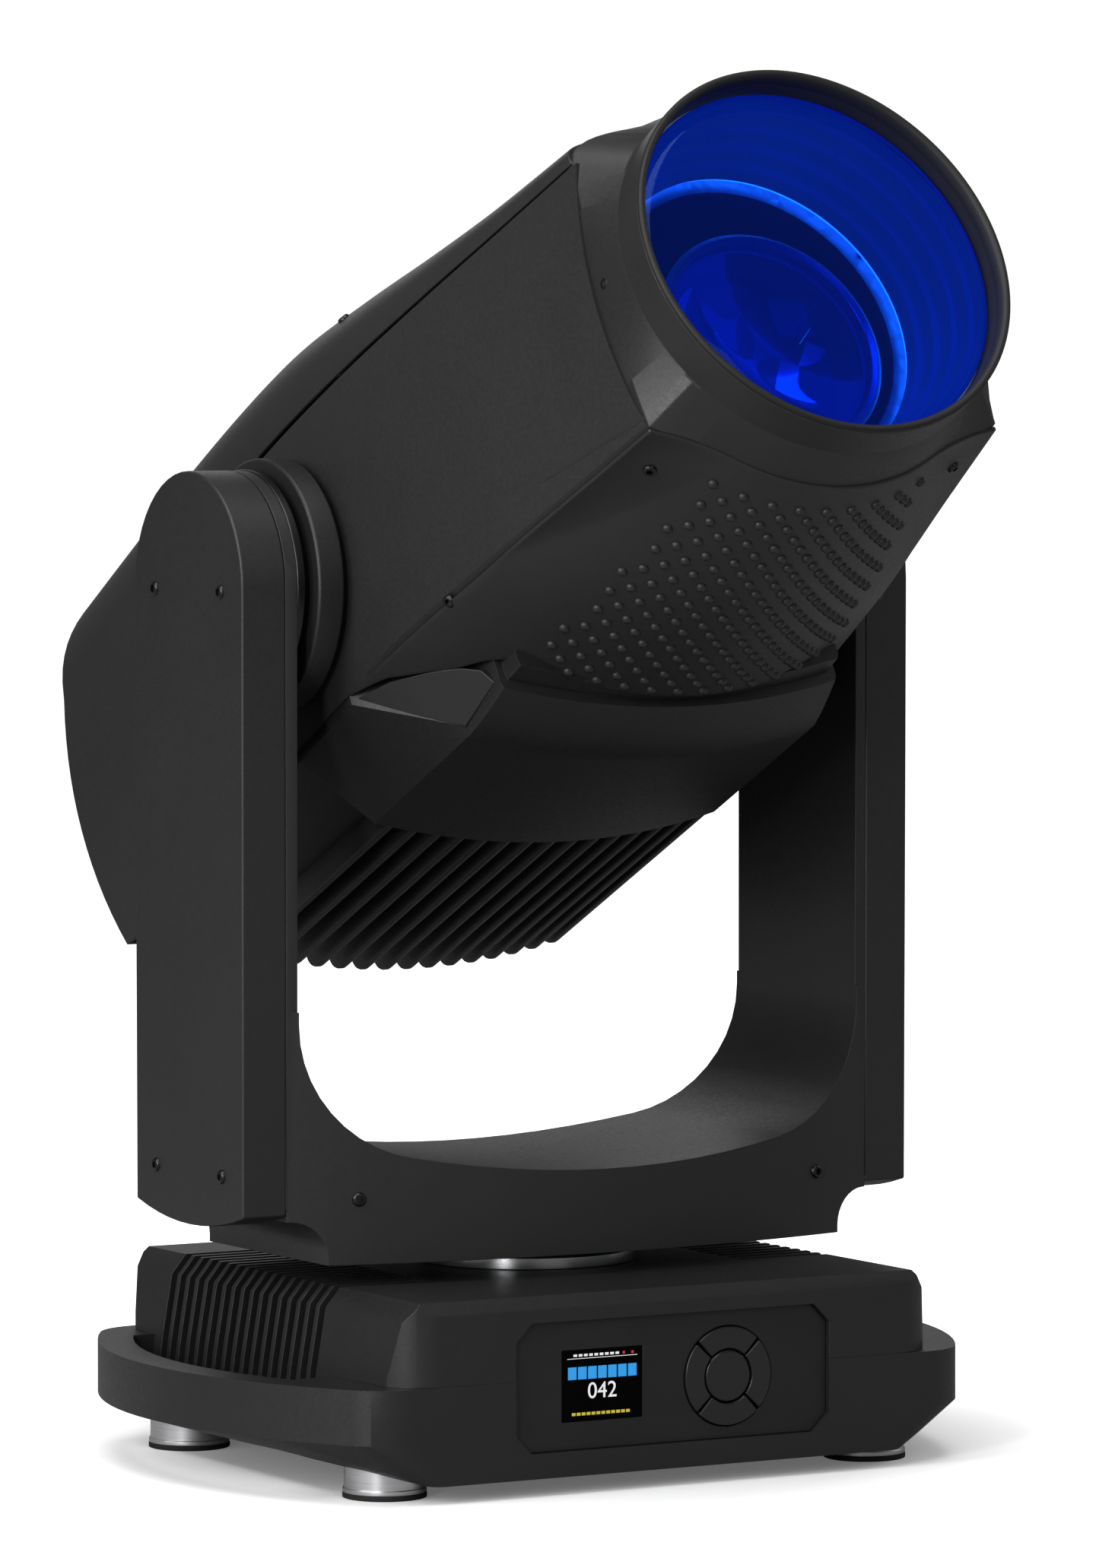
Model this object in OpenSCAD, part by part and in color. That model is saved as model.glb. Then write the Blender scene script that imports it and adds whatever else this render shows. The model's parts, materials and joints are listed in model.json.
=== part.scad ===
// Moving head light: a base, a pan yoke and a tilting profile head.
// Millimetres. Origin: the pan axis on the floor, +Z up, -Y to the front.

/* [Whole light] */
// Height of the tilt axis above the floor
tilt_z = 490; // [470:1:520]
// Rise of the beam above level at rest, in degrees
beam_rise = 30; // [0:1:60]
// Width across both yoke arms
yoke_w = 426; // [420:1:440]

/* [Base] */
// Front to back size of the base
base_d = 326; // [310:1:340]
// Width at the middle of the handles
base_w = 474; // [466:1:482]
// Radius of the bowed sides
side_r = 267; // [260:1:280]
// Radius of the four upright corners
corner_r = 35; // [20:1:40]
// Height of the tray's underside
tray_z = 10; // [8:1:12]
// Height of the handle bars' top
tray_top = 64; // [60:1:68]
// Height of the finned cover
base_top = 109.5; // [106:0.5:111]
// Width of the cover at its foot
cover_w = 343; // [336:1:346]
// Thickness of the handle bars
bar_t = 20; // [16:1:24]
// Number of cooling fins on each side
fin_count = 17; // [12:1:18]
// Distance from fin to fin
fin_pitch = 10.9; // [9:0.1:11]

/* [Control panel] */
// Width of the sunken panel
panel_w = 199; // [190:1:205]
// Height of the panel's lower edge
panel_z0 = 24; // [22:1:28]
// Height of the panel's upper edge
panel_z1 = 95; // [90:1:98]
// Depth of the panel below the front face
panel_sink = 3.5; // [2:0.5:5]

/* [Yoke] */
// Height of the yoke's underside
yoke_z = 121.3; // [120:0.1:126]
// Half of the arm's front to back size
arm_r = 63.5; // [60:0.5:66]
// Depth of the arm covers
arm_cover_t = 27; // [24:1:27]
// Thickness of the cast arm plates
arm_plate_t = 7; // [6:0.5:8]
// Radius of the yoke's inner corners
bend_r = 75; // [60:1:80]
// Height of the saddle between the arms
saddle_z = 168; // [164:1:172]

/* [Head] */
// Distance from the tilt axis to the front lip
lip_s = 366; // [360:1:372]
// Outer radius of the lens hood
hood_r = 110; // [108:1:111]
// Sweep radius of the rear end round the tilt axis
rear_r = 295; // [280:1:300]
// Wall of the plastic covers
shell_t = 3; // [2.5:0.5:4]

/* [Hidden] */
$fn = 64;

front_y = -base_d / 2;
side_off = side_r - base_w / 2;
panel_y = front_y + panel_sink;
panel_t = 7;
foot_x = 153.6;
foot_y = 114;
foot_r = 22;
bracket_x = 53;
bracket_y = 120;
keypad = [36, 58.3];
keypad_r = 27.3;
keypad_mid_r = 14.2;
display = [-43.7, 59];
display_w = 50.6;
display_h = 39;
slot_y0 = -92;
slot_y1 = 122;
skirt_z = 50;
pan_hub_r = 40;
pan_pulley_r = 70;
pan_drive_y = 108;
drive_ratio = 5;
belt_z0 = 83;
belt_z1 = 93;
run_gap = 0.05;
arm_in = yoke_w / 2 - arm_cover_t;
arm_out = yoke_w / 2;
plate_in = arm_in - arm_plate_t;
saddle_r = 640;
bend_x = plate_in - bend_r;
bend_z = saddle_z + saddle_r - sqrt(pow(saddle_r - bend_r, 2) - bend_x * bend_x);
bend_a = asin(bend_x / (saddle_r - bend_r));
tilt_pulley_r = 50;
tilt_drive_z = 157;
trunnion_r = 30;
motor_w = 28;
cove_r = 20;
cove_lip = 4.2;
foot_w = 164;
arm_low_z = 140;
arm_low_r = 228;
plan_y = 91;
plan_r = 629;
eye_z = 14;
eye_t = 5;
hub_r = 70;
// Where the side covers end, above and below the beam axis
seam_hi = 78;
seam_lo = -82;
// Distance along the beam, half width, upper and lower height, belly radius of the head
stations = [[315, 108, 106, 116.5, 116.5], [240, 120, 114, 128, 152], [180, 130, 124, 132.7, 192],
    [100, 141, 141, 137.5, 207], [20, 147, 156, 139, 218], [-100, 149, 160, 139, 223],
    [-296, 145, 158, 139, 213]];
side_bulge = 4.5;
squareness = 2.5;
split_s = -150;
block_s0 = 112;
block_r = 400;
block_s1 = -235;
fins_s0 = -45;
head_fins = 15;
head_fin_pitch = 14.3;
rod_x = 82;
rod_h = 46;
rod_r = 3;
wheel_off = 50;
wheel_r = 68;
color_s = -62;
gobo_s = -34;

// ---- outlines ----

function arc(c, r, a0, a1, n = 8) =
    [for (i = [0:n]) let (a = a0 + (a1 - a0) * i / n) [c[0] + r * cos(a), c[1] + r * sin(a)]];

function round_rect(w, d, r, n = 6) = concat(
    arc([w / 2 - r, d / 2 - r], r, 0, 90, n), arc([-w / 2 + r, d / 2 - r], r, 90, 180, n),
    arc([-w / 2 + r, -d / 2 + r], r, 180, 270, n), arc([w / 2 - r, -d / 2 + r], r, 270, 360, n));

function base_outline(e = 0) =
    let (r = side_r - e, y = base_d / 2 - corner_r, k = corner_r - e,
         x = sqrt(pow(r - k, 2) - y * y) - side_off, a = asin(y / (r - k)))
    concat(arc([x, -y], k, -90, -a, 6), arc([-side_off, 0], r, -a, a, 20),
           arc([x, y], k, a, 90, 6), arc([-x, y], k, 90, 180 - a, 6),
           arc([side_off, 0], r, 180 - a, 180 + a, 20), arc([-x, -y], k, 180 + a, 270, 6));

// The yoke's inner U from right to left, grown outwards by e
function saddle_line(e = 0, a0 = 0) = concat(
    arc([bend_x, bend_z], bend_r + e, a0, bend_a - 90, 10),
    arc([0, saddle_z + saddle_r], saddle_r + e, bend_a - 90, -90 - bend_a, 12),
    arc([-bend_x, bend_z], bend_r + e, -90 - bend_a, -180 - a0, 10));

function arm_outline(e = 0) = concat(
    arc([0, tilt_z], arm_r - e, 0, 180, 24),
    arc([0, arm_low_z + arm_low_r], arm_low_r - e, 254, 286, 10));

// One quarter of the head's top or belly, from the seam to the middle
function crown(w, h0, h1, n = 7) =
    [for (i = [0:n]) let (t = 90 * i / n)
        [w * pow(cos(t), 2 / squareness), h0 + (h1 - h0) * pow(sin(t), 2 / squareness)]];

function flip(points) = [for (i = [len(points) - 1:-1:0]) [-points[i][0], points[i][1]]];

// The belly from the middle to the seam: an arc, and a flat corner that widens to the front
function belly_right(st, e, n = 10) =
    let (w = st[1] - e, r = st[4] - e, x1 = w - max(2, 0.36 * (st[0] - 180)))
    concat([for (i = [0:n]) let (x = 0.001 + x1 * i / n) [x, -st[3] + e + r - sqrt(r * r - x * x)]],
           [[w, seam_lo]]);

function head_right(st, e) =
    let (w = st[1] - e, b = side_bulge)
    concat(belly_right(st, e),
           [[w + b * 0.75, seam_lo / 2], [w + b, 0], [w + b * 0.75, seam_hi / 2]],
           crown(w, seam_hi, st[2] - e));

function head_section(st, e = 0) = concat(head_right(st, e), flip(head_right(st, e)));

// ---- placing ----

// Draws on an upright face: local Z points to the front
module on_front(x, y, z) { translate([x, y, z]) rotate([90, 0, 0]) children(); }

// Extrudes a side view (front to back, height) along X
module along_x(x0, x1) { translate([x0, 0, 0]) rotate([90, 0, 90]) linear_extrude(x1 - x0) children(); }

// Extrudes a front view (width, height) along Y
module along_y(y0, y1) { translate([0, y1, 0]) rotate([90, 0, 0]) linear_extrude(y1 - y0) children(); }

// The head's own frame: the beam runs along local -Y from the tilt axis
module at_head() { translate([0, 0, tilt_z]) rotate([-beam_rise, 0, 0]) children(); }

// Round about the beam axis: local Z points along the beam
module on_beam(s, x = 0, h = 0) { translate([x, -s, h]) rotate([90, 0, 0]) children(); }

module head_slice(st, e, t = 0.01) { on_beam(st[0]) linear_extrude(t) polygon(head_section(st, e)); }

module both_sides() { children(); mirror([1, 0, 0]) children(); }

module box(lo, hi) { translate(lo) cube(hi - lo); }

module ring(r_out, r_in, h) {
    difference() { cylinder(r = r_out, h = h); translate([0, 0, -1]) cylinder(r = r_in, h = h + 2); }
}

// ---- base ----

module slot_plan() {
    intersection() {
        polygon(concat(arc([-side_off, 0], side_r - bar_t, -35, 35, 16), [[cover_w / 2 + 4, 150],
                [cover_w / 2 + 4, -150]]));
        translate([0, slot_y0]) square([300, slot_y1 - slot_y0]);
    }
}

module front_pocket() {
    on_front(0, panel_y + panel_t, 0) linear_extrude(20) polygon(panel_outline(0));
}

function panel_outline(e) =
    let (w = panel_w / 2 - e, lo = panel_z0 + e, hi = panel_z1 - e, k = 10)
    [[-w + k, lo], [w - k, lo], [w, lo + k], [w, hi - k], [w - k, hi], [-w + k, hi],
     [-w, hi - k], [-w, lo + k]];

module rear_pocket() { box([-130, base_d / 2 - 9, 24], [130, base_d / 2 + 5, 95]); }

module base_tray() {
    color("#3a3b3d") difference() {
        hull() {
            translate([0, 0, 34]) linear_extrude(tray_top - 34) polygon(base_outline());
            translate([0, 0, 18]) linear_extrude(0.1) polygon(round_rect(352, base_d - 1, corner_r));
            translate([0, 0, tray_z]) linear_extrude(0.1) polygon(round_rect(300, base_d - 4, 8));
        }
        box([-150, -base_d / 2 + 8, 14], [150, base_d / 2 - 8, 80]);
        box([-143, -base_d / 2 + 12, 5], [143, base_d / 2 - 12, 20]);
        both_sides() {
            linear_extrude(90) slot_plan();
            box([150 - 6, slot_y0, skirt_z], [cover_w / 2 + 6, slot_y1, 80]);
            for (i = [0:8]) translate([0, -64 + i * 16, 0]) box([150, 0, 8], [171.5, 5, 21]);
        }
        for (x = [-foot_x, foot_x], y = [-foot_y, foot_y])
            translate([x, y, 0]) cylinder(r = foot_r + 0.1, h = 20);
        box([-15.1, base_d / 2 - 10, eye_z], [15.1, base_d / 2 + 5, eye_z + eye_t + 0.1]);
        front_pocket();
        rear_pocket();
    }
}

module fin_gap() {
    y0 = slot_y1 - 6 - fin_count * fin_pitch;
    for (i = [0:fin_count - 1])
        along_y(y0 + i * fin_pitch, y0 + i * fin_pitch + fin_pitch * 0.62)
            polygon([[cover_w / 2 + 9, skirt_z - 8], [162, skirt_z - 8], [153, 97.5], [100, 97.5],
                     [100, 120], [cover_w / 2 + 9, 120]]);
}

module base_cover() {
    w = cover_w / 2;
    color("#3a3b3d") difference() {
        intersection() {
            along_y(-base_d / 2, base_d / 2)
                polygon([[-w - 2, skirt_z], [w + 2, skirt_z], [w, tray_top], [w - 6, 99],
                         [w - 15, base_top], [-w + 15, base_top], [-w + 6, 99], [-w, tray_top]]);
            along_x(-w - 3, w + 3)
                polygon([[-base_d / 2, 0], [base_d / 2, 0], [base_d / 2, 99], [base_d / 2 - 5, base_top],
                         [-base_d / 2 + 5, base_top], [-base_d / 2, 102]]);
            linear_extrude(200) polygon(round_rect(cover_w + 4, base_d, 28));
            union() {
                box([-w, -base_d / 2, tray_top], [w, base_d / 2, 120]);
                both_sides() box([150.2, slot_y0 + 0.2, skirt_z], [w + 3, slot_y1 - 0.2, tray_top + 1]);
            }
        }
        box([-145, -base_d / 2 + 7, 20], [145, base_d / 2 - 7, 93.5]);
        box([-90, -base_d / 2 + 7, 20], [90, base_d / 2 - 7, 105]);
        both_sides() fin_gap();
        translate([0, 0, 90]) cylinder(r = 54, h = 30);
        front_pocket();
        rear_pocket();
    }
}

module base_floor() {
    color("#55575a") difference() {
        box([-142.8, -base_d / 2 + 12.2, tray_z], [142.8, base_d / 2 - 12.2, tray_z + 4]);
        for (x = [-bracket_x, bracket_x], y = [-bracket_y, bracket_y])
            translate([x, y, 0]) cylinder(r = 4.5, h = 30);
        for (x = [-foot_x, foot_x], y = [-foot_y, foot_y])
            translate([x, y, 0]) cylinder(r = foot_r + 0.1, h = 30);
    }
}

module feet() {
    color("#b9bcc0") for (x = [-foot_x, foot_x], y = [-foot_y, foot_y])
        translate([x, y, 0]) difference() {
            union() {
                translate([0, 0, 3]) cylinder(r = foot_r, h = 17);
                translate([0, 0, 3]) cylinder(r = foot_r + 0.8, h = 2.5);
            }
            translate([0, 0, 2]) cylinder(r = 6, h = 9);
        }
}

module foot_pads() {
    color("#151515") for (x = [-foot_x, foot_x], y = [-foot_y, foot_y])
        translate([x, y, 0]) ring(foot_r + 1, 6, 3);
}

module control_panel() {
    color("#333436") difference() {
        on_front(0, panel_y + panel_t, 0) linear_extrude(panel_t) polygon(panel_outline(0.15));
        on_front(keypad[0], 0, keypad[1]) cylinder(r = keypad_r + 0.6, h = 200);
        box([display[0] - display_w / 2, -200, display[1] - display_h / 2],
            [display[0] + display_w / 2, 0, display[1] + display_h / 2]);
    }
}

module display_window() {
    color("#101318") box([display[0] - display_w / 2 + 0.1, panel_y, display[1] - display_h / 2 + 0.1],
        [display[0] + display_w / 2 - 0.1, panel_y + 5, display[1] + display_h / 2 - 0.1]);
}

module control_board() {
    y0 = panel_y + panel_t + 4;
    color("#1f5a36") {
        box([-80, y0, 30], [72, y0 + 1.6, 90]);
        for (x = [-76, 68], z = [34, 86]) on_front(x, y0, z) cylinder(r = 3, h = 4);
        box([display[0] - 22, panel_y + 5.2, display[1] - 16], [display[0] + 22, y0, display[1] + 16]);
    }
}

module ring_button(a) {
    color("#3b3c3e") on_front(keypad[0], panel_y + 5.5, keypad[1]) rotate([0, 0, a - 43])
        rotate_extrude(angle = 86) translate([keypad_mid_r + 1, 0])
            square([keypad_r - keypad_mid_r - 1, 6.6]);
}
module button_right() { ring_button(0); }
module button_up() { ring_button(90); }
module button_left() { ring_button(180); }
module button_down() { ring_button(270); }
module button_enter() {
    color("#3b3c3e") on_front(keypad[0], panel_y + 5.5, keypad[1]) cylinder(r = keypad_mid_r, h = 6.4);
}

module rear_panel() {
    y0 = base_d / 2 - 9;
    color("#333436") difference() {
        box([-129.8, y0, 24.2], [129.8, y0 + 4, 94.8]);
        on_front(-90, 200, 55) cylinder(r = 12.1, h = 100);
        for (x = [-20, 40]) on_front(x, 200, 60) cylinder(r = 12.1, h = 100);
    }
}

module power_gland() {
    color("#1b1c1e") on_front(-90, base_d / 2 + 12, 55) difference() {
        union() {
            cylinder(r = 11, h = 6);
            translate([0, 0, 6]) cylinder(r = 13.5, h = 11, $fn = 6);
            translate([0, 0, 17]) cylinder(r = 12, h = 12);
        }
        translate([0, 0, -1]) cylinder(r = 5, h = 40);
    }
}

module data_sockets() {
    color("#8d9094") for (x = [-20, 40]) on_front(x, base_d / 2 - 1, 60) difference() {
        union() {
            linear_extrude(4) polygon(round_rect(26, 31, 4, 4));
            translate([0, 0, 4]) cylinder(r = 12, h = 16);
        }
        translate([0, 0, -1]) cylinder(r = 9, h = 15);
    }
}

module data_caps() {
    color("#151515") for (x = [-20, 40]) on_front(x, base_d / 2 + 2, 60) {
        cylinder(r = 8.8, h = 12);
        cylinder(r = 11, h = 3);
    }
}

module power_supply() {
    color("#8f9296") {
        box([-135, -60, tray_z + 4], [-75, 95, 62]);
        box([75, -60, tray_z + 4], [135, 95, 58]);
    }
}

module pan_bearing() {
    color("#c9ccd0") {
        translate([0, 0, 98]) ring(53.9, pan_hub_r + run_gap, 12);
        translate([0, 0, base_top]) ring(62, pan_hub_r + run_gap, 7);
    }
}

module pan_motor() {
    color("#2a2b2e") difference() {
        union() {
            translate([0, pan_drive_y, 25]) linear_extrude(50) polygon(round_rect(57, 57, 5, 4));
            translate([0, pan_drive_y, 75]) cylinder(r = 19, h = 1.6);
            box([-34, pan_drive_y - 28, tray_z + 4], [34, pan_drive_y + 28, 25]);
        }
        translate([0, pan_drive_y, 60]) cylinder(r = 4 + run_gap, h = 30);
    }
}

module pan_motor_pulley() {
    color("#b5b8bc") translate([0, pan_drive_y, 0]) {
        translate([0, 0, 60.5]) cylinder(r = 4, h = 24);
        translate([0, 0, 80]) cylinder(r = 16, h = 2);
        translate([0, 0, 82]) cylinder(r = pan_pulley_r / drive_ratio, h = 12);
    }
}

// A flat belt round two pulleys, drawn in plan with its first wheel at the origin
module belt_plan(r1, r2, c, t = 2) {
    a = asin((r1 - r2) / c);
    difference() {
        belt_area(r1 + 0.35 + t, r2 + 0.35 + t, c, a);
        belt_area(r1 + 0.35, r2 + 0.35, c, a);
    }
}
module belt_area(r1, r2, c, a) {
    polygon(concat(arc([0, 0], r1, -a, 180 + a, 32), arc([0, -c], r2, 180 + a, 360 - a, 16)));
}

module pan_belt() {
    color("#1a1a1a") translate([0, 0, belt_z0]) linear_extrude(belt_z1 - belt_z0) rotate([0, 0, 180])
        belt_plan(pan_pulley_r, pan_pulley_r / drive_ratio, pan_drive_y);
}

module base_screws() {
    color("#1c1c1d") {
        for (x = [-1, 1]) translate([x * 169, -149, 52]) rotate([90, 0, x * 33])
            translate([0, 0, 5]) screw_head(4.4);
        for (x = [-120, 120], y = [-145, 145]) translate([x, y, tray_z]) rotate([180, 0, 0])
            screw_head(4);
    }
}

// A dome head standing on local z = 0, with a socket
module screw_head(r) {
    difference() {
        union() {
            translate([0, 0, -5]) cylinder(r = r * 0.55, h = 5.2);
            cylinder(r = r, h = r * 0.5);
        }
        translate([0, 0, r * 0.15]) cylinder(r = r * 0.5, h = r, $fn = 6);
    }
}

module safety_eye() {
    color("#b9bcc0") difference() {
        union() {
            translate([0, base_d / 2 + 9, eye_z]) cylinder(r = 15, h = eye_t);
            box([-15, base_d / 2 - 26, eye_z], [15, base_d / 2 + 9, eye_z + eye_t]);
        }
        translate([0, base_d / 2 + 9, 0]) cylinder(r = 7, h = 30);
    }
}

// ---- yoke ----

module yoke_outline() {
    lip_z = yoke_z + cove_lip;
    cove = arc([arm_in - 2, lip_z], cove_r, 180, 90, 8);
    polygon(concat([[-foot_w, yoke_z], [foot_w, yoke_z]], cove, [[arm_in, lip_z + cove_r],
        [arm_in, 600], [plate_in, 600]], saddle_line(), [[-plate_in, 600], [-arm_in, 600],
        [-arm_in, lip_z + cove_r]], flip(cove)));
}

module yoke_frame() {
    color("#3a3b3d") difference() {
        intersection() {
            along_y(-100, 100) yoke_outline();
            linear_extrude(600) polygon(concat(arc([0, plan_y - plan_r], plan_r, 72, 108, 24),
                arc([0, plan_r - plan_y], plan_r, 252, 288, 24)));
            union() {
                box([-200, -100, 100], [200, 100, 260]);
                along_x(-200, 200) polygon(arm_outline());
            }
        }
        along_y(-56, 56) polygon(concat([[157, 100], [157, 140], [172, 152]],
            saddle_line(5, -31), [[-172, 152], [-157, 140], [-157, 100]]));
        translate([-200, 0, tilt_z]) rotate([0, 90, 0]) cylinder(r = 42.1, h = 400);
        translate([160, 0, tilt_drive_z]) rotate([0, 90, 0]) cylinder(r = 13, h = 40);
    }
}

module yoke_floor() {
    color("#55575a") difference() {
        box([-156.8, -55.8, yoke_z], [156.8, 55.8, yoke_z + 3]);
        translate([0, 0, 100]) cylinder(r = 28, h = 40);
    }
}

module arm_cover() {
    difference() {
        along_x(arm_in, arm_out) polygon(arm_outline());
        along_x(arm_in - 1, arm_out - 3) polygon(arm_outline(3));
    }
}
module arm_cover_right() {
    color("#3a3b3d") difference() {
        arm_cover();
        box([arm_in + 8, arm_r - 4, 404], [arm_in + 18, arm_r + 1, 426]);
    }
}
module arm_cover_left() { color("#3a3b3d") mirror([1, 0, 0]) arm_cover(); }

module yoke_screws() {
    color("#1c1c1d") both_sides() {
        for (z = [170, 488], y = [-38.5, 38.5]) translate([arm_out, y, z]) rotate([0, 90, 0])
            screw_head(3.6);
        for (m = [0, 1]) mirror([0, m, 0]) translate([146.8, -73.3, 157.2]) rotate([90, 0, 13])
            screw_head(4.4);
    }
}

module pan_hub() {
    color("#b5b8bc") difference() {
        union() {
            translate([0, 0, belt_z0 - 2]) cylinder(r = pan_hub_r, h = yoke_z - belt_z0 + 2);
            translate([0, 0, belt_z0 - 1]) cylinder(r = pan_pulley_r, h = belt_z1 - belt_z0 + 1);
            translate([0, 0, belt_z0 - 3]) cylinder(r = pan_pulley_r + 2.5, h = 2);
            translate([0, 0, base_top + 8]) cylinder(r = 58, h = yoke_z - base_top - 8);
        }
        translate([0, 0, 50]) cylinder(r = 28, h = 100);
    }
}

module pan_lock() {
    color("#232425") difference() {
        box([86, 60, yoke_z - 6], [110, 82, yoke_z - 0.3]);
        for (i = [0:4]) box([89 + i * 4, 79, yoke_z - 7], [91 + i * 4, 83, yoke_z]);
    }
}

module tilt_bearings() {
    color("#c9ccd0") both_sides() translate([plate_in - 5, 0, tilt_z]) rotate([0, 90, 0]) {
        ring(64, trunnion_r + run_gap, 5);
        ring(42, trunnion_r + run_gap, 14);
    }
}

module tilt_motor() {
    color("#2a2b2e") difference() {
        union() {
            along_x(111, 156) translate([0, tilt_drive_z]) polygon(round_rect(motor_w, motor_w, 4, 4));
            along_x(120, 124) polygon([[-54, yoke_z + 3], [54, yoke_z + 3], [30, tilt_drive_z],
                [-30, tilt_drive_z]]);
            translate([156, 0, tilt_drive_z]) rotate([0, 90, 0]) cylinder(r = 11, h = 4);
        }
        translate([150, 0, tilt_drive_z]) rotate([0, 90, 0]) cylinder(r = 3 + run_gap, h = 40);
    }
}

module tilt_motor_pulley() {
    color("#b5b8bc") translate([0, 0, tilt_drive_z]) rotate([0, 90, 0]) {
        translate([0, 0, 151]) cylinder(r = 3, h = 45);
        translate([0, 0, 190]) cylinder(r = tilt_pulley_r / drive_ratio, h = 14);
        translate([0, 0, 204]) cylinder(r = tilt_pulley_r / drive_ratio + 1.5, h = 1.5);
    }
}

module tilt_belt() {
    color("#1a1a1a") translate([192, 0, tilt_z]) rotate([90, 0, 90]) linear_extrude(9)
        belt_plan(tilt_pulley_r, tilt_pulley_r / drive_ratio, tilt_z - tilt_drive_z);
}

module tilt_lock() {
    color("#232425") difference() {
        box([arm_in + 8.3, arm_r - 7, 404.3], [arm_in + 17.7, arm_r + 1.5, 416]);
        for (i = [0:2]) box([arm_in + 5, arm_r, 406 + i * 3.4], [arm_in + 20, arm_r + 3, 407.6 + i * 3.4]);
    }
}

// ---- head ----

// The head's outside sunk by e, and run on past the front by reach
module head_solid(e, reach = 0) {
    front = stations[0];
    slope = (front - stations[1]) / (front[0] - stations[1][0]);
    intersection() {
        hull() {
            for (st = stations) head_slice(st, e);
            if (reach > 0) head_slice(front + slope * reach, e);
        }
        along_x(-200, 200) union() {
            circle(r = rear_r - e, $fn = 128);
            translate([-500, -250]) square([500, 500]);
        }
    }
}

module head_shell() {
    difference() { head_solid(0); head_solid(shell_t, 30); }
}

module side_cover() {
    difference() {
        intersection() {
            head_shell();
            box([-200, -stations[0][0], seam_lo], [0, -split_s, seam_hi]);
        }
        translate([-200, 0, 0]) rotate([0, 90, 0]) cylinder(r = trunnion_r + 1, h = 200);
    }
}
module side_cover_left() { color("#3a3b3d") at_head() side_cover(); }
module side_cover_right() { color("#3a3b3d") at_head() mirror([1, 0, 0]) side_cover(); }

module top_cover() {
    color("#3a3b3d") at_head() intersection() {
        head_shell();
        box([-200, -300, seam_hi + 0.2], [200, -split_s, 200]);
    }
}

module belly_cover() {
    color("#3a3b3d") at_head() intersection() {
        head_shell();
        box([-200, -stations[0][0], -200], [200, -block_s0, seam_lo - 0.2]);
    }
}

module rear_cover() {
    color("#3a3b3d") at_head() intersection() {
        difference() {
            head_solid(0);
            intersection() {
                head_solid(shell_t);
                box([-200, -400, seam_lo + 4], [200, 400, 200]);
            }
        }
        box([-200, -split_s + 0.2, seam_lo - 1], [200, 400, 200]);
    }
}

// The lower casting's cross section, sunk by e and with its underside raised by up
function block_section(e, up = 0) = concat([[-146 + e, -86]],
    arc([0, block_r - 148 + up], block_r - e, 254.4, 285.6, 14), [[146 - e, -86]]);

module rear_heatsink() {
    fin_t = 5;
    color("#2f3032") at_head() difference() {
        hull() {
            on_beam(block_s0 - 38) linear_extrude(0.01) polygon(block_section(0));
            on_beam(block_s0) linear_extrude(0.01) polygon(block_section(9));
            on_beam(block_s1 + 30) linear_extrude(0.01) polygon(block_section(0, 16.5));
            on_beam(block_s1) linear_extrude(0.01) polygon(block_section(12, 18));
        }
        box([-92, -block_s0 + 12, -126], [92, -fins_s0 - 8, -80]);
        for (i = [0:head_fins]) {
            x = (i - head_fins / 2) * head_fin_pitch;
            box([x - head_fin_pitch / 2 + fin_t / 2, -fins_s0, -170],
                [x + head_fin_pitch / 2 - fin_t / 2, -block_s1 + 20, -109]);
        }
        box([-200, -block_s1 - 22, -112], [200, -block_s1 + 5, -80]);
    }
}

module front_bezel() {
    front = stations[0];
    color("#3a3b3d") at_head() difference() {
        union() {
            hull() {
                on_beam(284) linear_extrude(0.01) polygon(head_section([284, 109.8, 106, 117, 127]));
                on_beam(front[0] + 2) linear_extrude(0.01)
                    polygon(head_section([front[0], 104.3, 102.4, 112.6, 112.6]));
                on_beam(front[0] + 14) cylinder(r = hood_r + 1, h = 0.1);
            }
            on_beam(front[0]) cylinder(r = hood_r, h = lip_s - front[0]);
        }
        on_beam(270) cylinder(r = hood_r - 7, h = 200);
        on_beam(332) cylinder(r = hood_r - 4, h = 60);
    }
}

module front_lens() {
    color("#1546c8", 0.6) at_head() on_beam(335) rotate_extrude() polygon(concat([[0, 0]],
        [for (i = [0:10]) let (x = 102.8 * (1 - i / 10)) [x, 9 + 15 * (1 - pow(x / 102.8, 2))]]));
}

module lens_ring() {
    color("#1a1a1a") at_head() on_beam(332) ring(hood_r - 4.1, 100, 3);
}

module tilt_hubs() {
    color("#2f3032") both_sides() translate([0, 0, tilt_z]) rotate([0, 90, 0]) difference() {
        union() {
            translate([0, 0, 153]) cylinder(r = hub_r, h = 16);
            translate([0, 0, 132]) cylinder(r = trunnion_r, h = 74);
        }
        translate([0, 0, 120]) cylinder(r = 22, h = 100);
    }
}

module tilt_pulley() {
    color("#b5b8bc") translate([190, 0, tilt_z]) rotate([0, 90, 0]) {
        ring(tilt_pulley_r, trunnion_r, 13);
        translate([0, 0, 13]) ring(tilt_pulley_r + 3, trunnion_r, 2);
    }
}

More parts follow.
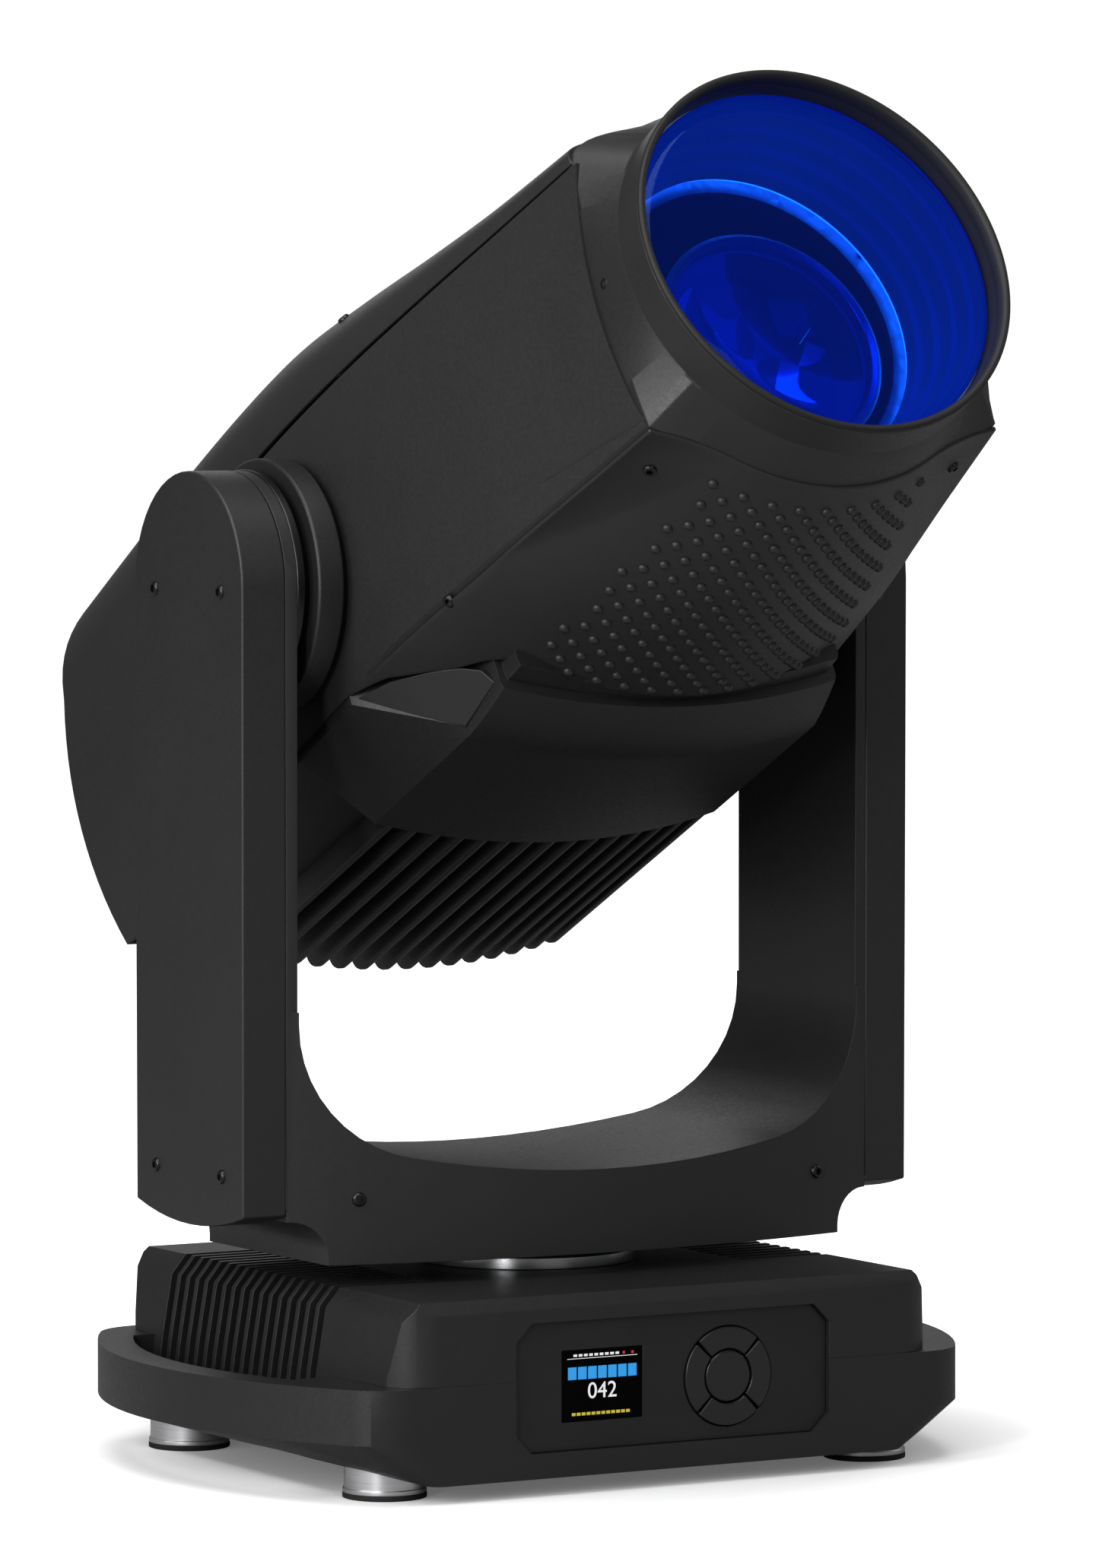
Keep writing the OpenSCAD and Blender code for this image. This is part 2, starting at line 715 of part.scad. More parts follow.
module head_chassis() {
    bulkheads = [-150, -110, 88];
    apertures = [30, 40, 46];
    front_gap = 4;
    color("#6d7074") at_head() difference() {
        union() {
            both_sides() box([128, -92, -62], [132, 150, 62]);
            for (x = [-101, 101], h = [-62, 60]) box([x - 4, -282, h - 4], [x + 4, -88, h + 4]);
            intersection() {
                head_solid(shell_t + run_gap);
                union() for (s = bulkheads) box([-200, -s - 4, seam_lo], [200, -s, 200]);
            }
            intersection() {
                head_solid(shell_t + front_gap);
                box([-200, -282, -200], [200, -278, 200]);
            }
        }
        for (i = [0:2]) on_beam(bulkheads[i] - 1) cylinder(r = apertures[i], h = 6);
        on_beam(270) cylinder(r = 84, h = 20);
        for (x = [-rod_x, rod_x], h = [-rod_h, rod_h])
            on_beam(60, x, h) cylinder(r = rod_r + 0.02, h = 260);
        translate([-200, 0, 0]) rotate([0, 90, 0]) cylinder(r = 22, h = 400);
        for (h = [wheel_off, -wheel_off]) on_beam(-160, 0, h) cylinder(r = 14, h = 60);
    }
}

module light_engine() {
    color("#8f9296") at_head() {
        on_beam(-232) linear_extrude(20) polygon(round_rect(150, 130, 12));
        for (i = [-6:6]) box([i * 11 - 2, 160, -60], [i * 11 + 2, 214, 60]);
        on_beam(-162) linear_extrude(12) polygon(round_rect(150, 130, 12));
    }
}

module effects_motors() {
    color("#2a2b2e") at_head() {
        on_beam(-148, 0, wheel_off) { cylinder(r = 13.9, h = 42); cylinder(r = 3, h = color_s + 148 + 8); }
        on_beam(-148, 0, -wheel_off) { cylinder(r = 13.9, h = 42); cylinder(r = 3, h = gobo_s + 148 + 8); }
    }
}

module effect_disc(holes, r_hole) {
    difference() {
        union() { cylinder(r = wheel_r, h = 2); cylinder(r = 9, h = 6); }
        translate([0, 0, -1]) cylinder(r = 3 + run_gap, h = 10);
        for (i = [0:holes - 1]) rotate([0, 0, i * 360 / holes]) translate([0, -wheel_off, -1])
            cylinder(r = r_hole, h = 5);
    }
}
module color_wheel() { color("#c23a55") at_head() on_beam(color_s, 0, wheel_off) effect_disc(8, 15); }
module gobo_wheel() {
    color("#a8abb0") at_head() on_beam(gobo_s, 0, -wheel_off) rotate([0, 0, 180]) effect_disc(8, 14);
}

module guide_rods() {
    color("#d2d4d7") at_head() for (x = [-rod_x, rod_x], h = [-rod_h, rod_h])
        on_beam(84, x, h) cylinder(r = rod_r, h = 200);
}

module carriage(s, r_lens, diagonal) {
    on_beam(s) difference() {
        union() {
            cylinder(r = r_lens + 5, h = 14);
            rotate([0, 0, diagonal * atan2(rod_h, rod_x)]) linear_extrude(10)
                polygon(round_rect(2 * norm([rod_x, rod_h]) + 18, 26, 12));
        }
        translate([0, 0, -1]) cylinder(r = r_lens, h = 20);
        for (k = [-1, 1]) translate([k * rod_x, k * diagonal * rod_h, -1])
            cylinder(r = rod_r + run_gap, h = 20);
    }
}
module zoom_carriage() { color("#2a2b2e") at_head() carriage(140, 62, 1); }
module focus_carriage() {
    color("#2a2b2e") at_head() { carriage(215, 62, -1); on_beam(219) cylinder(r = 62, h = 8); }
}
module zoom_lens() {
    color("#9db4e8", 0.5) at_head() on_beam(141) rotate_extrude() polygon([[0, -2], [30, 0], [62, 4],
        [62, 9], [30, 13], [0, 15]]);
}

module fan_frame() {
    color("#232425") at_head() on_beam(-268) difference() {
        union() {
            difference() {
                linear_extrude(25) polygon(round_rect(120, 120, 6, 3));
                translate([0, 0, 3]) cylinder(r = 57, h = 30);
                for (i = [0:3]) rotate([0, 0, i * 90 + 6]) translate([0, 0, -1]) linear_extrude(5)
                    polygon(concat(arc([0, 0], 56, 0, 76, 10), arc([0, 0], 22, 76, 0, 6)));
            }
            cylinder(r = 3, h = 22);
        }
    }
}

module fan_impeller() {
    color("#2f3032") at_head() on_beam(-268) difference() {
        union() {
            translate([0, 0, 5]) cylinder(r = 21, h = 18);
            for (i = [0:6]) rotate([0, 0, i * 360 / 7]) translate([19, 0, 14]) rotate([52, 0, 0])
                translate([0, -9, -1]) cube([35, 18, 2]);
        }
        translate([0, 0, 4]) cylinder(r = 3 + run_gap, h = 30);
    }
}

module head_screws() {
    color("#1c1c1d") at_head() {
        for (x = [-1, 1]) {
            translate([x * 109.4, -320, 4.6]) rotate([0, x * 90, 0]) screw_head(3.6);
            translate([x * 137.2, -130, seam_lo]) rotate([0, x * 115, 0]) screw_head(3.6);
            translate([x * 95, -290, -88.6]) rotate([0, x * 158, 0]) screw_head(3.6);
            translate([x * 118.4, -86, 119.8]) rotate([0, x * 32, 0]) screw_head(3.6);
        }
    }
}

base_tray();
base_cover();
base_floor();
feet();
foot_pads();
control_panel();
display_window();
control_board();
rear_panel();
power_gland();
data_sockets();
data_caps();
power_supply();
pan_bearing();
pan_motor();
pan_belt();
pan_motor_pulley();
base_screws();
safety_eye();
button_up();
button_down();
button_left();
button_right();
button_enter();
yoke_frame();
yoke_floor();
arm_cover_left();
arm_cover_right();
yoke_screws();
pan_hub();
pan_lock();
tilt_bearings();
tilt_motor();
tilt_motor_pulley();
tilt_belt();
tilt_lock();
head_chassis();
side_cover_left();
side_cover_right();
top_cover();
belly_cover();
front_bezel();
front_lens();
lens_ring();
rear_heatsink();
rear_cover();
tilt_hubs();
tilt_pulley();
light_engine();
effects_motors();
color_wheel();
gobo_wheel();
guide_rods();
zoom_carriage();
zoom_lens();
focus_carriage();
fan_frame();
fan_impeller();
head_screws();
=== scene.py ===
import bpy
import bmesh
import json
from math import asin, cos, pi, radians, sin, sqrt
from mathutils import Matrix, Vector


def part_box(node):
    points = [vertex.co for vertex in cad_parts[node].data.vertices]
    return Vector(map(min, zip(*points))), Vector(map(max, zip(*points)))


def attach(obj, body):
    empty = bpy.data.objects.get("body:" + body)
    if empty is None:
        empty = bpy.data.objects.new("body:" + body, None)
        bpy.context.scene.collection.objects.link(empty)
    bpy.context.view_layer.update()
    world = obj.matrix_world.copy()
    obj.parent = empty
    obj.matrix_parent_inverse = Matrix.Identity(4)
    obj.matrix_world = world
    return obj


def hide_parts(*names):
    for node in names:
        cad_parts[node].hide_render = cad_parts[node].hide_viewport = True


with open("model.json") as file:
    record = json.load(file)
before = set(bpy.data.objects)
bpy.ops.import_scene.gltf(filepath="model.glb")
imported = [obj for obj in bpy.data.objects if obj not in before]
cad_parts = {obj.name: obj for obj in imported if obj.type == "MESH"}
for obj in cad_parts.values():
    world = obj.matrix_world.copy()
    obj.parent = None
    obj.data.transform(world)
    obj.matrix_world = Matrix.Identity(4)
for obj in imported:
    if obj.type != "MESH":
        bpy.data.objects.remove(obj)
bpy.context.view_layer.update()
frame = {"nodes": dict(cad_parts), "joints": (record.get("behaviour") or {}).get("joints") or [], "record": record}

scene = bpy.context.scene
print("frame loaded:", len(frame["nodes"]), "parts")

# ---- node helpers ----


def node(tree, kind, **values):
    made = tree.nodes.new(kind)
    for key, value in values.items():
        setattr(made, key, value)
    return made


def plug(tree, value, socket):
    if hasattr(value, "is_output"):
        tree.links.new(value, socket)
    else:
        socket.default_value = value


def mixedOnSight(tree, unseen, seen):
    # one shader to the camera, another to every other ray
    mix = node(tree, "ShaderNodeMixShader")
    plug(tree, node(tree, "ShaderNodeLightPath").outputs["Is Camera Ray"], mix.inputs["Fac"])
    plug(tree, unseen, mix.inputs[1])
    plug(tree, seen, mix.inputs[2])
    return mix.outputs[0]


# ---- camera, floor and lights ----

viewFrom = dict(place=(-2.2292, -3.8651, 0.6239), turn=30.15, dip=3.176, lens=183.0)


def addCamera():
    data = bpy.data.cameras.new("camera")
    data.lens = viewFrom["lens"]
    data.sensor_width = 36
    data.clip_end = 60
    camera = bpy.data.objects.new("camera", data)
    scene.collection.objects.link(camera)
    camera.location = viewFrom["place"]
    camera.rotation_euler = (radians(90 - viewFrom["dip"]), 0, radians(-viewFrom["turn"]))
    scene.camera = camera


def addLight(name, turn, rise, reach, size, power, tint=(1, 1, 1), aim=(0, 0, 0.42)):
    data = bpy.data.lights.new(name, "AREA")
    data.shape = "RECTANGLE"
    data.size, data.size_y = size
    data.energy = power
    data.color = tint
    lamp = bpy.data.objects.new(name, data)
    scene.collection.objects.link(lamp)
    a, e = radians(turn), radians(rise)
    away = Vector((-sin(a) * cos(e), -cos(a) * cos(e), sin(e)))
    lamp.location = Vector(aim) + away * reach
    lamp.rotation_euler = away.to_track_quat("Z", "Y").to_euler()


def floorPaper():
    # white to the lens with a soft contact shadow, and dimmer as a bounce
    paint = bpy.data.materials.new("floorPaper")
    paint.use_nodes = True
    tree = paint.node_tree
    tree.nodes.clear()
    far = node(tree, "ShaderNodeVectorMath", operation="LENGTH")
    plug(tree, node(tree, "ShaderNodeTexCoord").outputs["Object"], far.inputs[0])
    fade = node(tree, "ShaderNodeMapRange")
    for key, value in (("From Min", 0.2), ("From Max", 0.44), ("To Min", 0.12), ("To Max", 1.0)):
        fade.inputs[key].default_value = value
    plug(tree, far.outputs["Value"], fade.inputs["Value"])
    glow = node(tree, "ShaderNodeEmission")
    plug(tree, fade.outputs["Result"], glow.inputs["Strength"])
    white, dim = node(tree, "ShaderNodeBsdfDiffuse"), node(tree, "ShaderNodeBsdfDiffuse")
    white.inputs["Color"].default_value = (1, 1, 1, 1)
    dim.inputs["Color"].default_value = (0.35, 0.35, 0.35, 1)
    both = node(tree, "ShaderNodeAddShader")
    plug(tree, white.outputs[0], both.inputs[0])
    plug(tree, glow.outputs[0], both.inputs[1])
    out = node(tree, "ShaderNodeOutputMaterial")
    plug(tree, mixedOnSight(tree, dim.outputs[0], both.outputs[0]), out.inputs["Surface"])
    return paint


def addStudio():
    # name, turn from the front towards the object's left as seen, rise, distance, size and power
    addLight("key", 84, 24, 3.4, (1.6, 2.4), 60)
    addLight("overhead", 40, 72, 3.0, (2.4, 2.4), 62)
    addLight("strip", 52, 14, 3.6, (0.45, 2.0), 56)
    addLight("back", 205, 22, 3.4, (2.4, 1.4), 7)
    addLight("fill", 2, 28, 4.0, (2.2, 2.2), 19)
    addLight("under", 20, -28, 3.6, (2.0, 1.2), 22, aim=(0, 0, 0.5))
    addLight("rim", -80, 20, 3.4, (0.8, 2.0), 9)
    scene.view_settings.view_transform = "Standard"
    world = bpy.data.worlds.new("studio")
    scene.world = world
    world.use_nodes = True
    tree = world.node_tree
    tree.nodes.clear()
    lit, seen = node(tree, "ShaderNodeBackground"), node(tree, "ShaderNodeBackground")
    for sky, strength in ((lit, 0.13), (seen, 1.05)):
        sky.inputs["Color"].default_value = (1, 1, 1, 1)
        sky.inputs["Strength"].default_value = strength
    out = node(tree, "ShaderNodeOutputWorld")
    plug(tree, mixedOnSight(tree, lit.outputs[0], seen.outputs[0]), out.inputs["Surface"])
    mesh = bpy.data.meshes.new("floor")
    reach = 14
    corners = [(-reach, -reach, 0), (reach, -reach, 0), (reach, reach, 0), (-reach, reach, 0)]
    mesh.from_pydata(corners, [], [(0, 1, 2, 3)])
    floor = bpy.data.objects.new("floor", mesh)
    scene.collection.objects.link(floor)
    mesh.materials.append(floorPaper())


addCamera()
addStudio()
print("camera and studio set")

# ---- finishes ----


def noiseAt(tree, coords, scale, detail=3.0, rough=0.55, stretch=None):
    if stretch:
        turned = node(tree, "ShaderNodeMapping")
        turned.inputs["Scale"].default_value = stretch
        tree.links.new(coords, turned.inputs["Vector"])
        coords = turned.outputs["Vector"]
    made = node(tree, "ShaderNodeTexNoise")
    made.inputs["Scale"].default_value = scale
    made.inputs["Detail"].default_value = detail
    made.inputs["Roughness"].default_value = rough
    tree.links.new(coords, made.inputs["Vector"])
    return made.outputs["Fac"]


def ranged(tree, value, low, high, start=0.3, end=0.7):
    made = node(tree, "ShaderNodeMapRange")
    made.inputs["From Min"].default_value = start
    made.inputs["From Max"].default_value = end
    made.inputs["To Min"].default_value = low
    made.inputs["To Max"].default_value = high
    tree.links.new(value, made.inputs["Value"])
    return made.outputs["Result"]


def blended(tree, factor, first, second):
    made = node(tree, "ShaderNodeMix", data_type="RGBA")
    tree.links.new(factor, made.inputs["Factor"])
    plug(tree, first, made.inputs[6])
    plug(tree, second, made.inputs[7])
    return made.outputs[2]


def tones(shade, down, up):
    # a darker and a paler version of the same colour
    return [c * down for c in shade] + [1], [min(c * up, 1) for c in shade] + [1]


def startFinish(name, metallic=0.0):
    paint = bpy.data.materials.new(name)
    paint.use_nodes = True
    tree = paint.node_tree
    shader = tree.nodes["Principled BSDF"]
    shader.inputs["Metallic"].default_value = metallic
    coords = node(tree, "ShaderNodeTexCoord").outputs["Object"]
    return paint, tree, shader, coords


def addBump(tree, shader, height, depth, strength=1.0):
    made = node(tree, "ShaderNodeBump")
    made.inputs["Strength"].default_value = strength
    made.inputs["Distance"].default_value = depth
    tree.links.new(height, made.inputs["Height"])
    tree.links.new(made.outputs["Normal"], shader.inputs["Normal"])


def powderCoat(name, shade, rough, grain=0.00010, pitch=1500):
    # fine orange peel over a soft cloudiness
    paint, tree, shader, coords = startFinish(name)
    peel = noiseAt(tree, coords, pitch, 2.0, 0.6)
    cloud = noiseAt(tree, coords, 9.0, 4.0, 0.6)
    low, high = tones(shade, 0.88, 1.12)
    plug(tree, blended(tree, ranged(tree, cloud, 0, 1), low, high), shader.inputs["Base Color"])
    speck = noiseAt(tree, coords, 420, 2.0, 0.7)
    plug(tree, ranged(tree, speck, rough - 0.05, rough + 0.06), shader.inputs["Roughness"])
    addBump(tree, shader, peel, grain, 0.7)
    return paint


def mouldedPlastic(name, shade, rough, grain=0.00006, pitch=2600):
    paint, tree, shader, coords = startFinish(name)
    leather = node(tree, "ShaderNodeTexVoronoi")
    leather.inputs["Scale"].default_value = pitch
    tree.links.new(coords, leather.inputs["Vector"])
    cloud = noiseAt(tree, coords, 30.0, 3.0)
    low, high = tones(shade, 0.85, 1.15)
    plug(tree, blended(tree, ranged(tree, cloud, 0, 1), low, high), shader.inputs["Base Color"])
    plug(tree, ranged(tree, cloud, rough - 0.04, rough + 0.05), shader.inputs["Roughness"])
    addBump(tree, shader, leather.outputs["Distance"], grain, 0.6)
    return paint


def workedMetal(name, shade, rough, stretch, depth=0.00003):
    # brushed or turned metal: long fine scratches along one axis
    paint, tree, shader, coords = startFinish(name, 1.0)
    lines = noiseAt(tree, coords, 60.0, 4.0, 0.7, stretch)
    cloud = noiseAt(tree, coords, 25.0, 3.0)
    low, high = tones(shade, 0.82, 1.1)
    plug(tree, blended(tree, ranged(tree, lines, 0, 1), low, high), shader.inputs["Base Color"])
    plug(tree, ranged(tree, cloud, rough - 0.06, rough + 0.08), shader.inputs["Roughness"])
    addBump(tree, shader, lines, depth, 0.5)
    return paint


def zincSheet(name, shade, rough):
    paint, tree, shader, coords = startFinish(name, 1.0)
    flakes = node(tree, "ShaderNodeTexVoronoi")
    flakes.inputs["Scale"].default_value = 160
    tree.links.new(coords, flakes.inputs["Vector"])
    split = node(tree, "ShaderNodeSeparateColor")
    tree.links.new(flakes.outputs["Color"], split.inputs["Color"])
    low, high = tones(shade, 0.8, 1.15)
    plug(tree, blended(tree, split.outputs["Red"], low, high), shader.inputs["Base Color"])
    plug(tree, ranged(tree, split.outputs["Green"], rough - 0.08, rough + 0.1, 0, 1), shader.inputs["Roughness"])
    return paint


def circuitGreen(name):
    paint, tree, shader, coords = startFinish(name)
    tracks = node(tree, "ShaderNodeTexBrick")
    tracks.inputs["Scale"].default_value = 240
    tracks.inputs["Color1"].default_value = (0.015, 0.11, 0.04, 1)
    tracks.inputs["Color2"].default_value = (0.02, 0.14, 0.05, 1)
    tracks.inputs["Mortar"].default_value = (0.04, 0.2, 0.08, 1)
    tree.links.new(coords, tracks.inputs["Vector"])
    tree.links.new(tracks.outputs["Color"], shader.inputs["Base Color"])
    shader.inputs["Roughness"].default_value = 0.35
    return paint


def tintedGlass(name, tint, gloss, index, paintedGlow=None):
    # coated glass seen as a tint over what is behind it, with a mirror sheen at the edge and, when given, a
    # painted glow
    paint, tree, shader, coords = startFinish(name)
    tree.nodes.remove(shader)
    out = tree.nodes["Material Output"]
    through = node(tree, "ShaderNodeBsdfTransparent")
    film = noiseAt(tree, coords, 7.0, 2.0)
    low, high = tones(tint, 0.9, 1.08)
    plug(tree, blended(tree, ranged(tree, film, 0, 1), low, high), through.inputs["Color"])
    sheen = node(tree, "ShaderNodeBsdfGlossy")
    sheen.inputs["Color"].default_value = gloss
    sheen.inputs["Roughness"].default_value = 0.03
    edge = node(tree, "ShaderNodeFresnel")
    edge.inputs["IOR"].default_value = index
    mix = node(tree, "ShaderNodeMixShader")
    tree.links.new(edge.outputs[0], mix.inputs["Fac"])
    tree.links.new(through.outputs[0], mix.inputs[1])
    tree.links.new(sheen.outputs[0], mix.inputs[2])
    if paintedGlow:
        # painted glow: an emission in the coating's own colour stands in for light the coating reflects
        glow, both = node(tree, "ShaderNodeEmission"), node(tree, "ShaderNodeAddShader")
        glow.inputs["Color"].default_value = list(paintedGlow) + [1]
        tree.links.new(mix.outputs[0], both.inputs[0])
        tree.links.new(glow.outputs[0], both.inputs[1])
        tree.links.new(both.outputs[0], out.inputs["Surface"])
    else:
        tree.links.new(mix.outputs[0], out.inputs["Surface"])
    return paint


def litInk(name, shade, power):
    paint, tree, shader, coords = startFinish(name)
    dots = noiseAt(tree, coords, 3000, 1.0)
    low, high = tones(shade, 0.8, 1)
    plug(tree, blended(tree, ranged(tree, dots, 0, 1), low, high), shader.inputs["Emission Color"])
    shader.inputs["Base Color"].default_value = (0, 0, 0, 1)
    shader.inputs["Emission Strength"].default_value = power
    return paint


def retuned(paint, label, value):
    paint.node_tree.nodes["Principled BSDF"].inputs[label].default_value = value


finish = dict(
    casting=powderCoat("castingPowderCoat", (0.0150, 0.0151, 0.0154), 0.43),
    heatsink=powderCoat("heatsinkPowderCoat", (0.0090, 0.0091, 0.0094), 0.46),
    panel=mouldedPlastic("panelPlastic", (0.0075, 0.0076, 0.0079), 0.5),
    button=mouldedPlastic("buttonSilicone", (0.012, 0.0122, 0.0126), 0.2, 0.00001, 4000),
    screen=mouldedPlastic("screenGlass", (0.0004, 0.0004, 0.0006), 0.4, 0.000001, 500),
    foot_metal=workedMetal("footAluminium", (0.86, 0.86, 0.88), 0.36, (1, 1, 40)),
    rubber=mouldedPlastic("blackRubber", (0.008, 0.008, 0.008), 0.75, 0.00012, 1200),
    belt=mouldedPlastic("beltRubber", (0.01, 0.01, 0.01), 0.7, 0.0001, 1500),
    bright_steel=workedMetal("brightSteel", (0.62, 0.63, 0.65), 0.22, (1, 1, 30)),
    screw=mouldedPlastic("blackOxideSteel", (0.0022, 0.0022, 0.0024), 0.28, 0.000005, 2000),
    sheet_metal=zincSheet("zincPlate", (0.34, 0.35, 0.36), 0.42),
    machined=workedMetal("machinedAluminium", (0.58, 0.59, 0.6), 0.28, (40, 1, 1)),
    motor=powderCoat("motorBlack", (0.02, 0.02, 0.022), 0.4),
    circuit=circuitGreen("boardGreen"),
    power_box=zincSheet("powerBoxSheet", (0.45, 0.46, 0.48), 0.38),
    plug=mouldedPlastic("mattBlackPlastic", (0.01, 0.01, 0.011), 0.5),
    socket_metal=workedMetal("satinNickel", (0.42, 0.43, 0.44), 0.32, (1, 1, 20)),
    # the lens glass's last colour is a painted blue glow
    lens_glass=tintedGlass("blueCoatedGlass", (0.08, 0.36, 1.0), (0.3, 0.5, 1, 1), 1.3,
                           (0.0004, 0.003, 0.035)),
    filter_glass=tintedGlass("dichroicGlass", (0.85, 0.2, 0.4), (0.9, 0.8, 1, 1), 1.5),
)
# painted shade: the base gets a darker copy of the casting's powder coat, standing in for the dimmer light it
# receives
baseShadedCoat = powderCoat("basePowderCoat", (0.0118, 0.0119, 0.0122), 0.42)
lipBlack = mouldedPlastic("lipRubber", (0.003, 0.003, 0.003), 0.6)
# painted light: the barrel's satin paint glows faintly blue, brightening the inside of the lens
barrelPaintedGlow = powderCoat("barrelSatin", (0.25, 0.27, 0.32), 0.3)
retuned(barrelPaintedGlow, "Emission Color", (0.45, 0.6, 1, 1))
retuned(barrelPaintedGlow, "Emission Strength", 0.09)
retuned(finish["screen"], "Specular IOR Level", 0.05)
rearGlow = litInk("barrelGlow", (0.55, 0.7, 1.0), 4.0)
# the inner lens glass also carries a faint painted blue glow
innerGlass = tintedGlass("innerLensGlass", (0.8, 0.88, 1.0), (0.9, 0.95, 1, 1), 1.6, (0.0, 0.004, 0.03))
inkWhite = litInk("inkWhite", (0.9, 0.9, 0.92), 1.0)
inkCyan = litInk("inkCyan", (0.03, 0.35, 0.85), 1.0)
inkYellow = litInk("inkYellow", (0.75, 0.62, 0.05), 0.8)
inkRed = litInk("inkRed", (0.7, 0.05, 0.08), 0.8)
print("finishes made:", len(bpy.data.materials))

# ---- making and placing ----

mm = 0.001
tiltJoint = next(j for j in frame["joints"] if j["name"] == "tilt")
headRise = 30.0
headPlace = Matrix.Translation((0, 0, tiltJoint["pos_m"][2])) @ Matrix.Rotation(-radians(headRise), 4, "X")


def settle(obj, body, nodes=(), slot=None, paint=None):
    if paint is None and slot:
        paint = finish[slot]
    if paint:
        obj.data.materials.clear()
        obj.data.materials.append(paint)
    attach(obj, body)
    if nodes:
        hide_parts(*nodes)
    return obj


def fixedMesh(obj):
    # swaps the object's modifiers for their plain result
    bpy.context.view_layer.update()
    graph = bpy.context.evaluated_depsgraph_get()
    made = obj.evaluated_get(graph)
    mesh = bpy.data.meshes.new_from_object(made, preserve_all_data_layers=True, depsgraph=graph)
    old = obj.data
    obj.modifiers.clear()
    obj.data = mesh
    mesh.name = obj.name
    if old.users == 0:
        bpy.data.meshes.remove(old)
    return obj


def meshObject(name, points, faces, place=None, scale=mm):
    mesh = bpy.data.meshes.new(name)
    mesh.from_pydata([Vector(p) * scale for p in points], [], faces)
    shape = bmesh.new()
    shape.from_mesh(mesh)
    bmesh.ops.remove_doubles(shape, verts=shape.verts, dist=0.000002)
    bmesh.ops.recalc_face_normals(shape, faces=shape.faces)
    shape.to_mesh(mesh)
    shape.free()
    if place:
        mesh.transform(place)
    obj = bpy.data.objects.new(name, mesh)
    scene.collection.objects.link(obj)
    return obj


def softened(obj, width, angle=32, segments=3, wall=None, even=True):
    # gives open sheets a wall, rounds the edges and fixes the result
    if wall:
        solid = obj.modifiers.new("wall", "SOLIDIFY")
        solid.thickness = wall
        solid.offset = -1
        solid.use_even_offset = even
    bevel = obj.modifiers.new("edge", "BEVEL")
    bevel.width = width
    bevel.segments = segments
    bevel.limit_method = "ANGLE"
    bevel.angle_limit = radians(angle)
    bevel.use_clamp_overlap = True
    bevel.miter_outer = "MITER_ARC"
    obj.data.shade_smooth()
    normals = obj.modifiers.new("shade", "WEIGHTED_NORMAL")
    normals.keep_sharp = False
    normals.weight = 60
    return fixedMesh(obj)


def recast(name, cadNode, width, body, slot, angle=34, segments=3, paint=None):
    # a CAD part with rounded edges
    shape = bmesh.new()
    shape.from_mesh(frame["nodes"][cadNode].data)
    bmesh.ops.remove_doubles(shape, verts=shape.verts, dist=0.00002)
    bmesh.ops.dissolve_limit(shape, angle_limit=radians(0.6), verts=shape.verts, edges=shape.edges)
    mesh = bpy.data.meshes.new(name)
    shape.to_mesh(mesh)
    shape.free()
    obj = bpy.data.objects.new(name, mesh)
    scene.collection.objects.link(obj)
    softened(obj, width, angle, segments)
    return settle(obj, body, (cadNode,), slot, paint)


def gridFaces(rows, columns, loop=False):
    # quads between neighbouring rows of points
    faces = []
    for i in range(rows - 1):
        for j in range(columns if loop else columns - 1):
            a, b = i * columns + j, i * columns + (j + 1) % columns
            faces.append((a, b, b + columns, a + columns))
    return faces


def lathe(profile, steps, close=True):
    # turns (radius, height) points about local Z
    points, faces = [], []
    count = len(profile)
    for i in range(steps):
        a = 2 * pi * i / steps
        points += [(r * cos(a), r * sin(a), z) for r, z in profile]
    for i in range(steps):
        k = (i + 1) % steps
        for j in range(count if close else count - 1):
            n = (j + 1) % count
            faces.append((i * count + j, k * count + j, k * count + n, i * count + n))
    return points, faces


def alongBeam(s, x=0, h=0):
    # local Z runs up the beam
    return headPlace @ Matrix.Translation(Vector((x, -s, h)) * mm) @ Matrix.Rotation(pi / 2, 4, "X")


# ---- repeated things ----


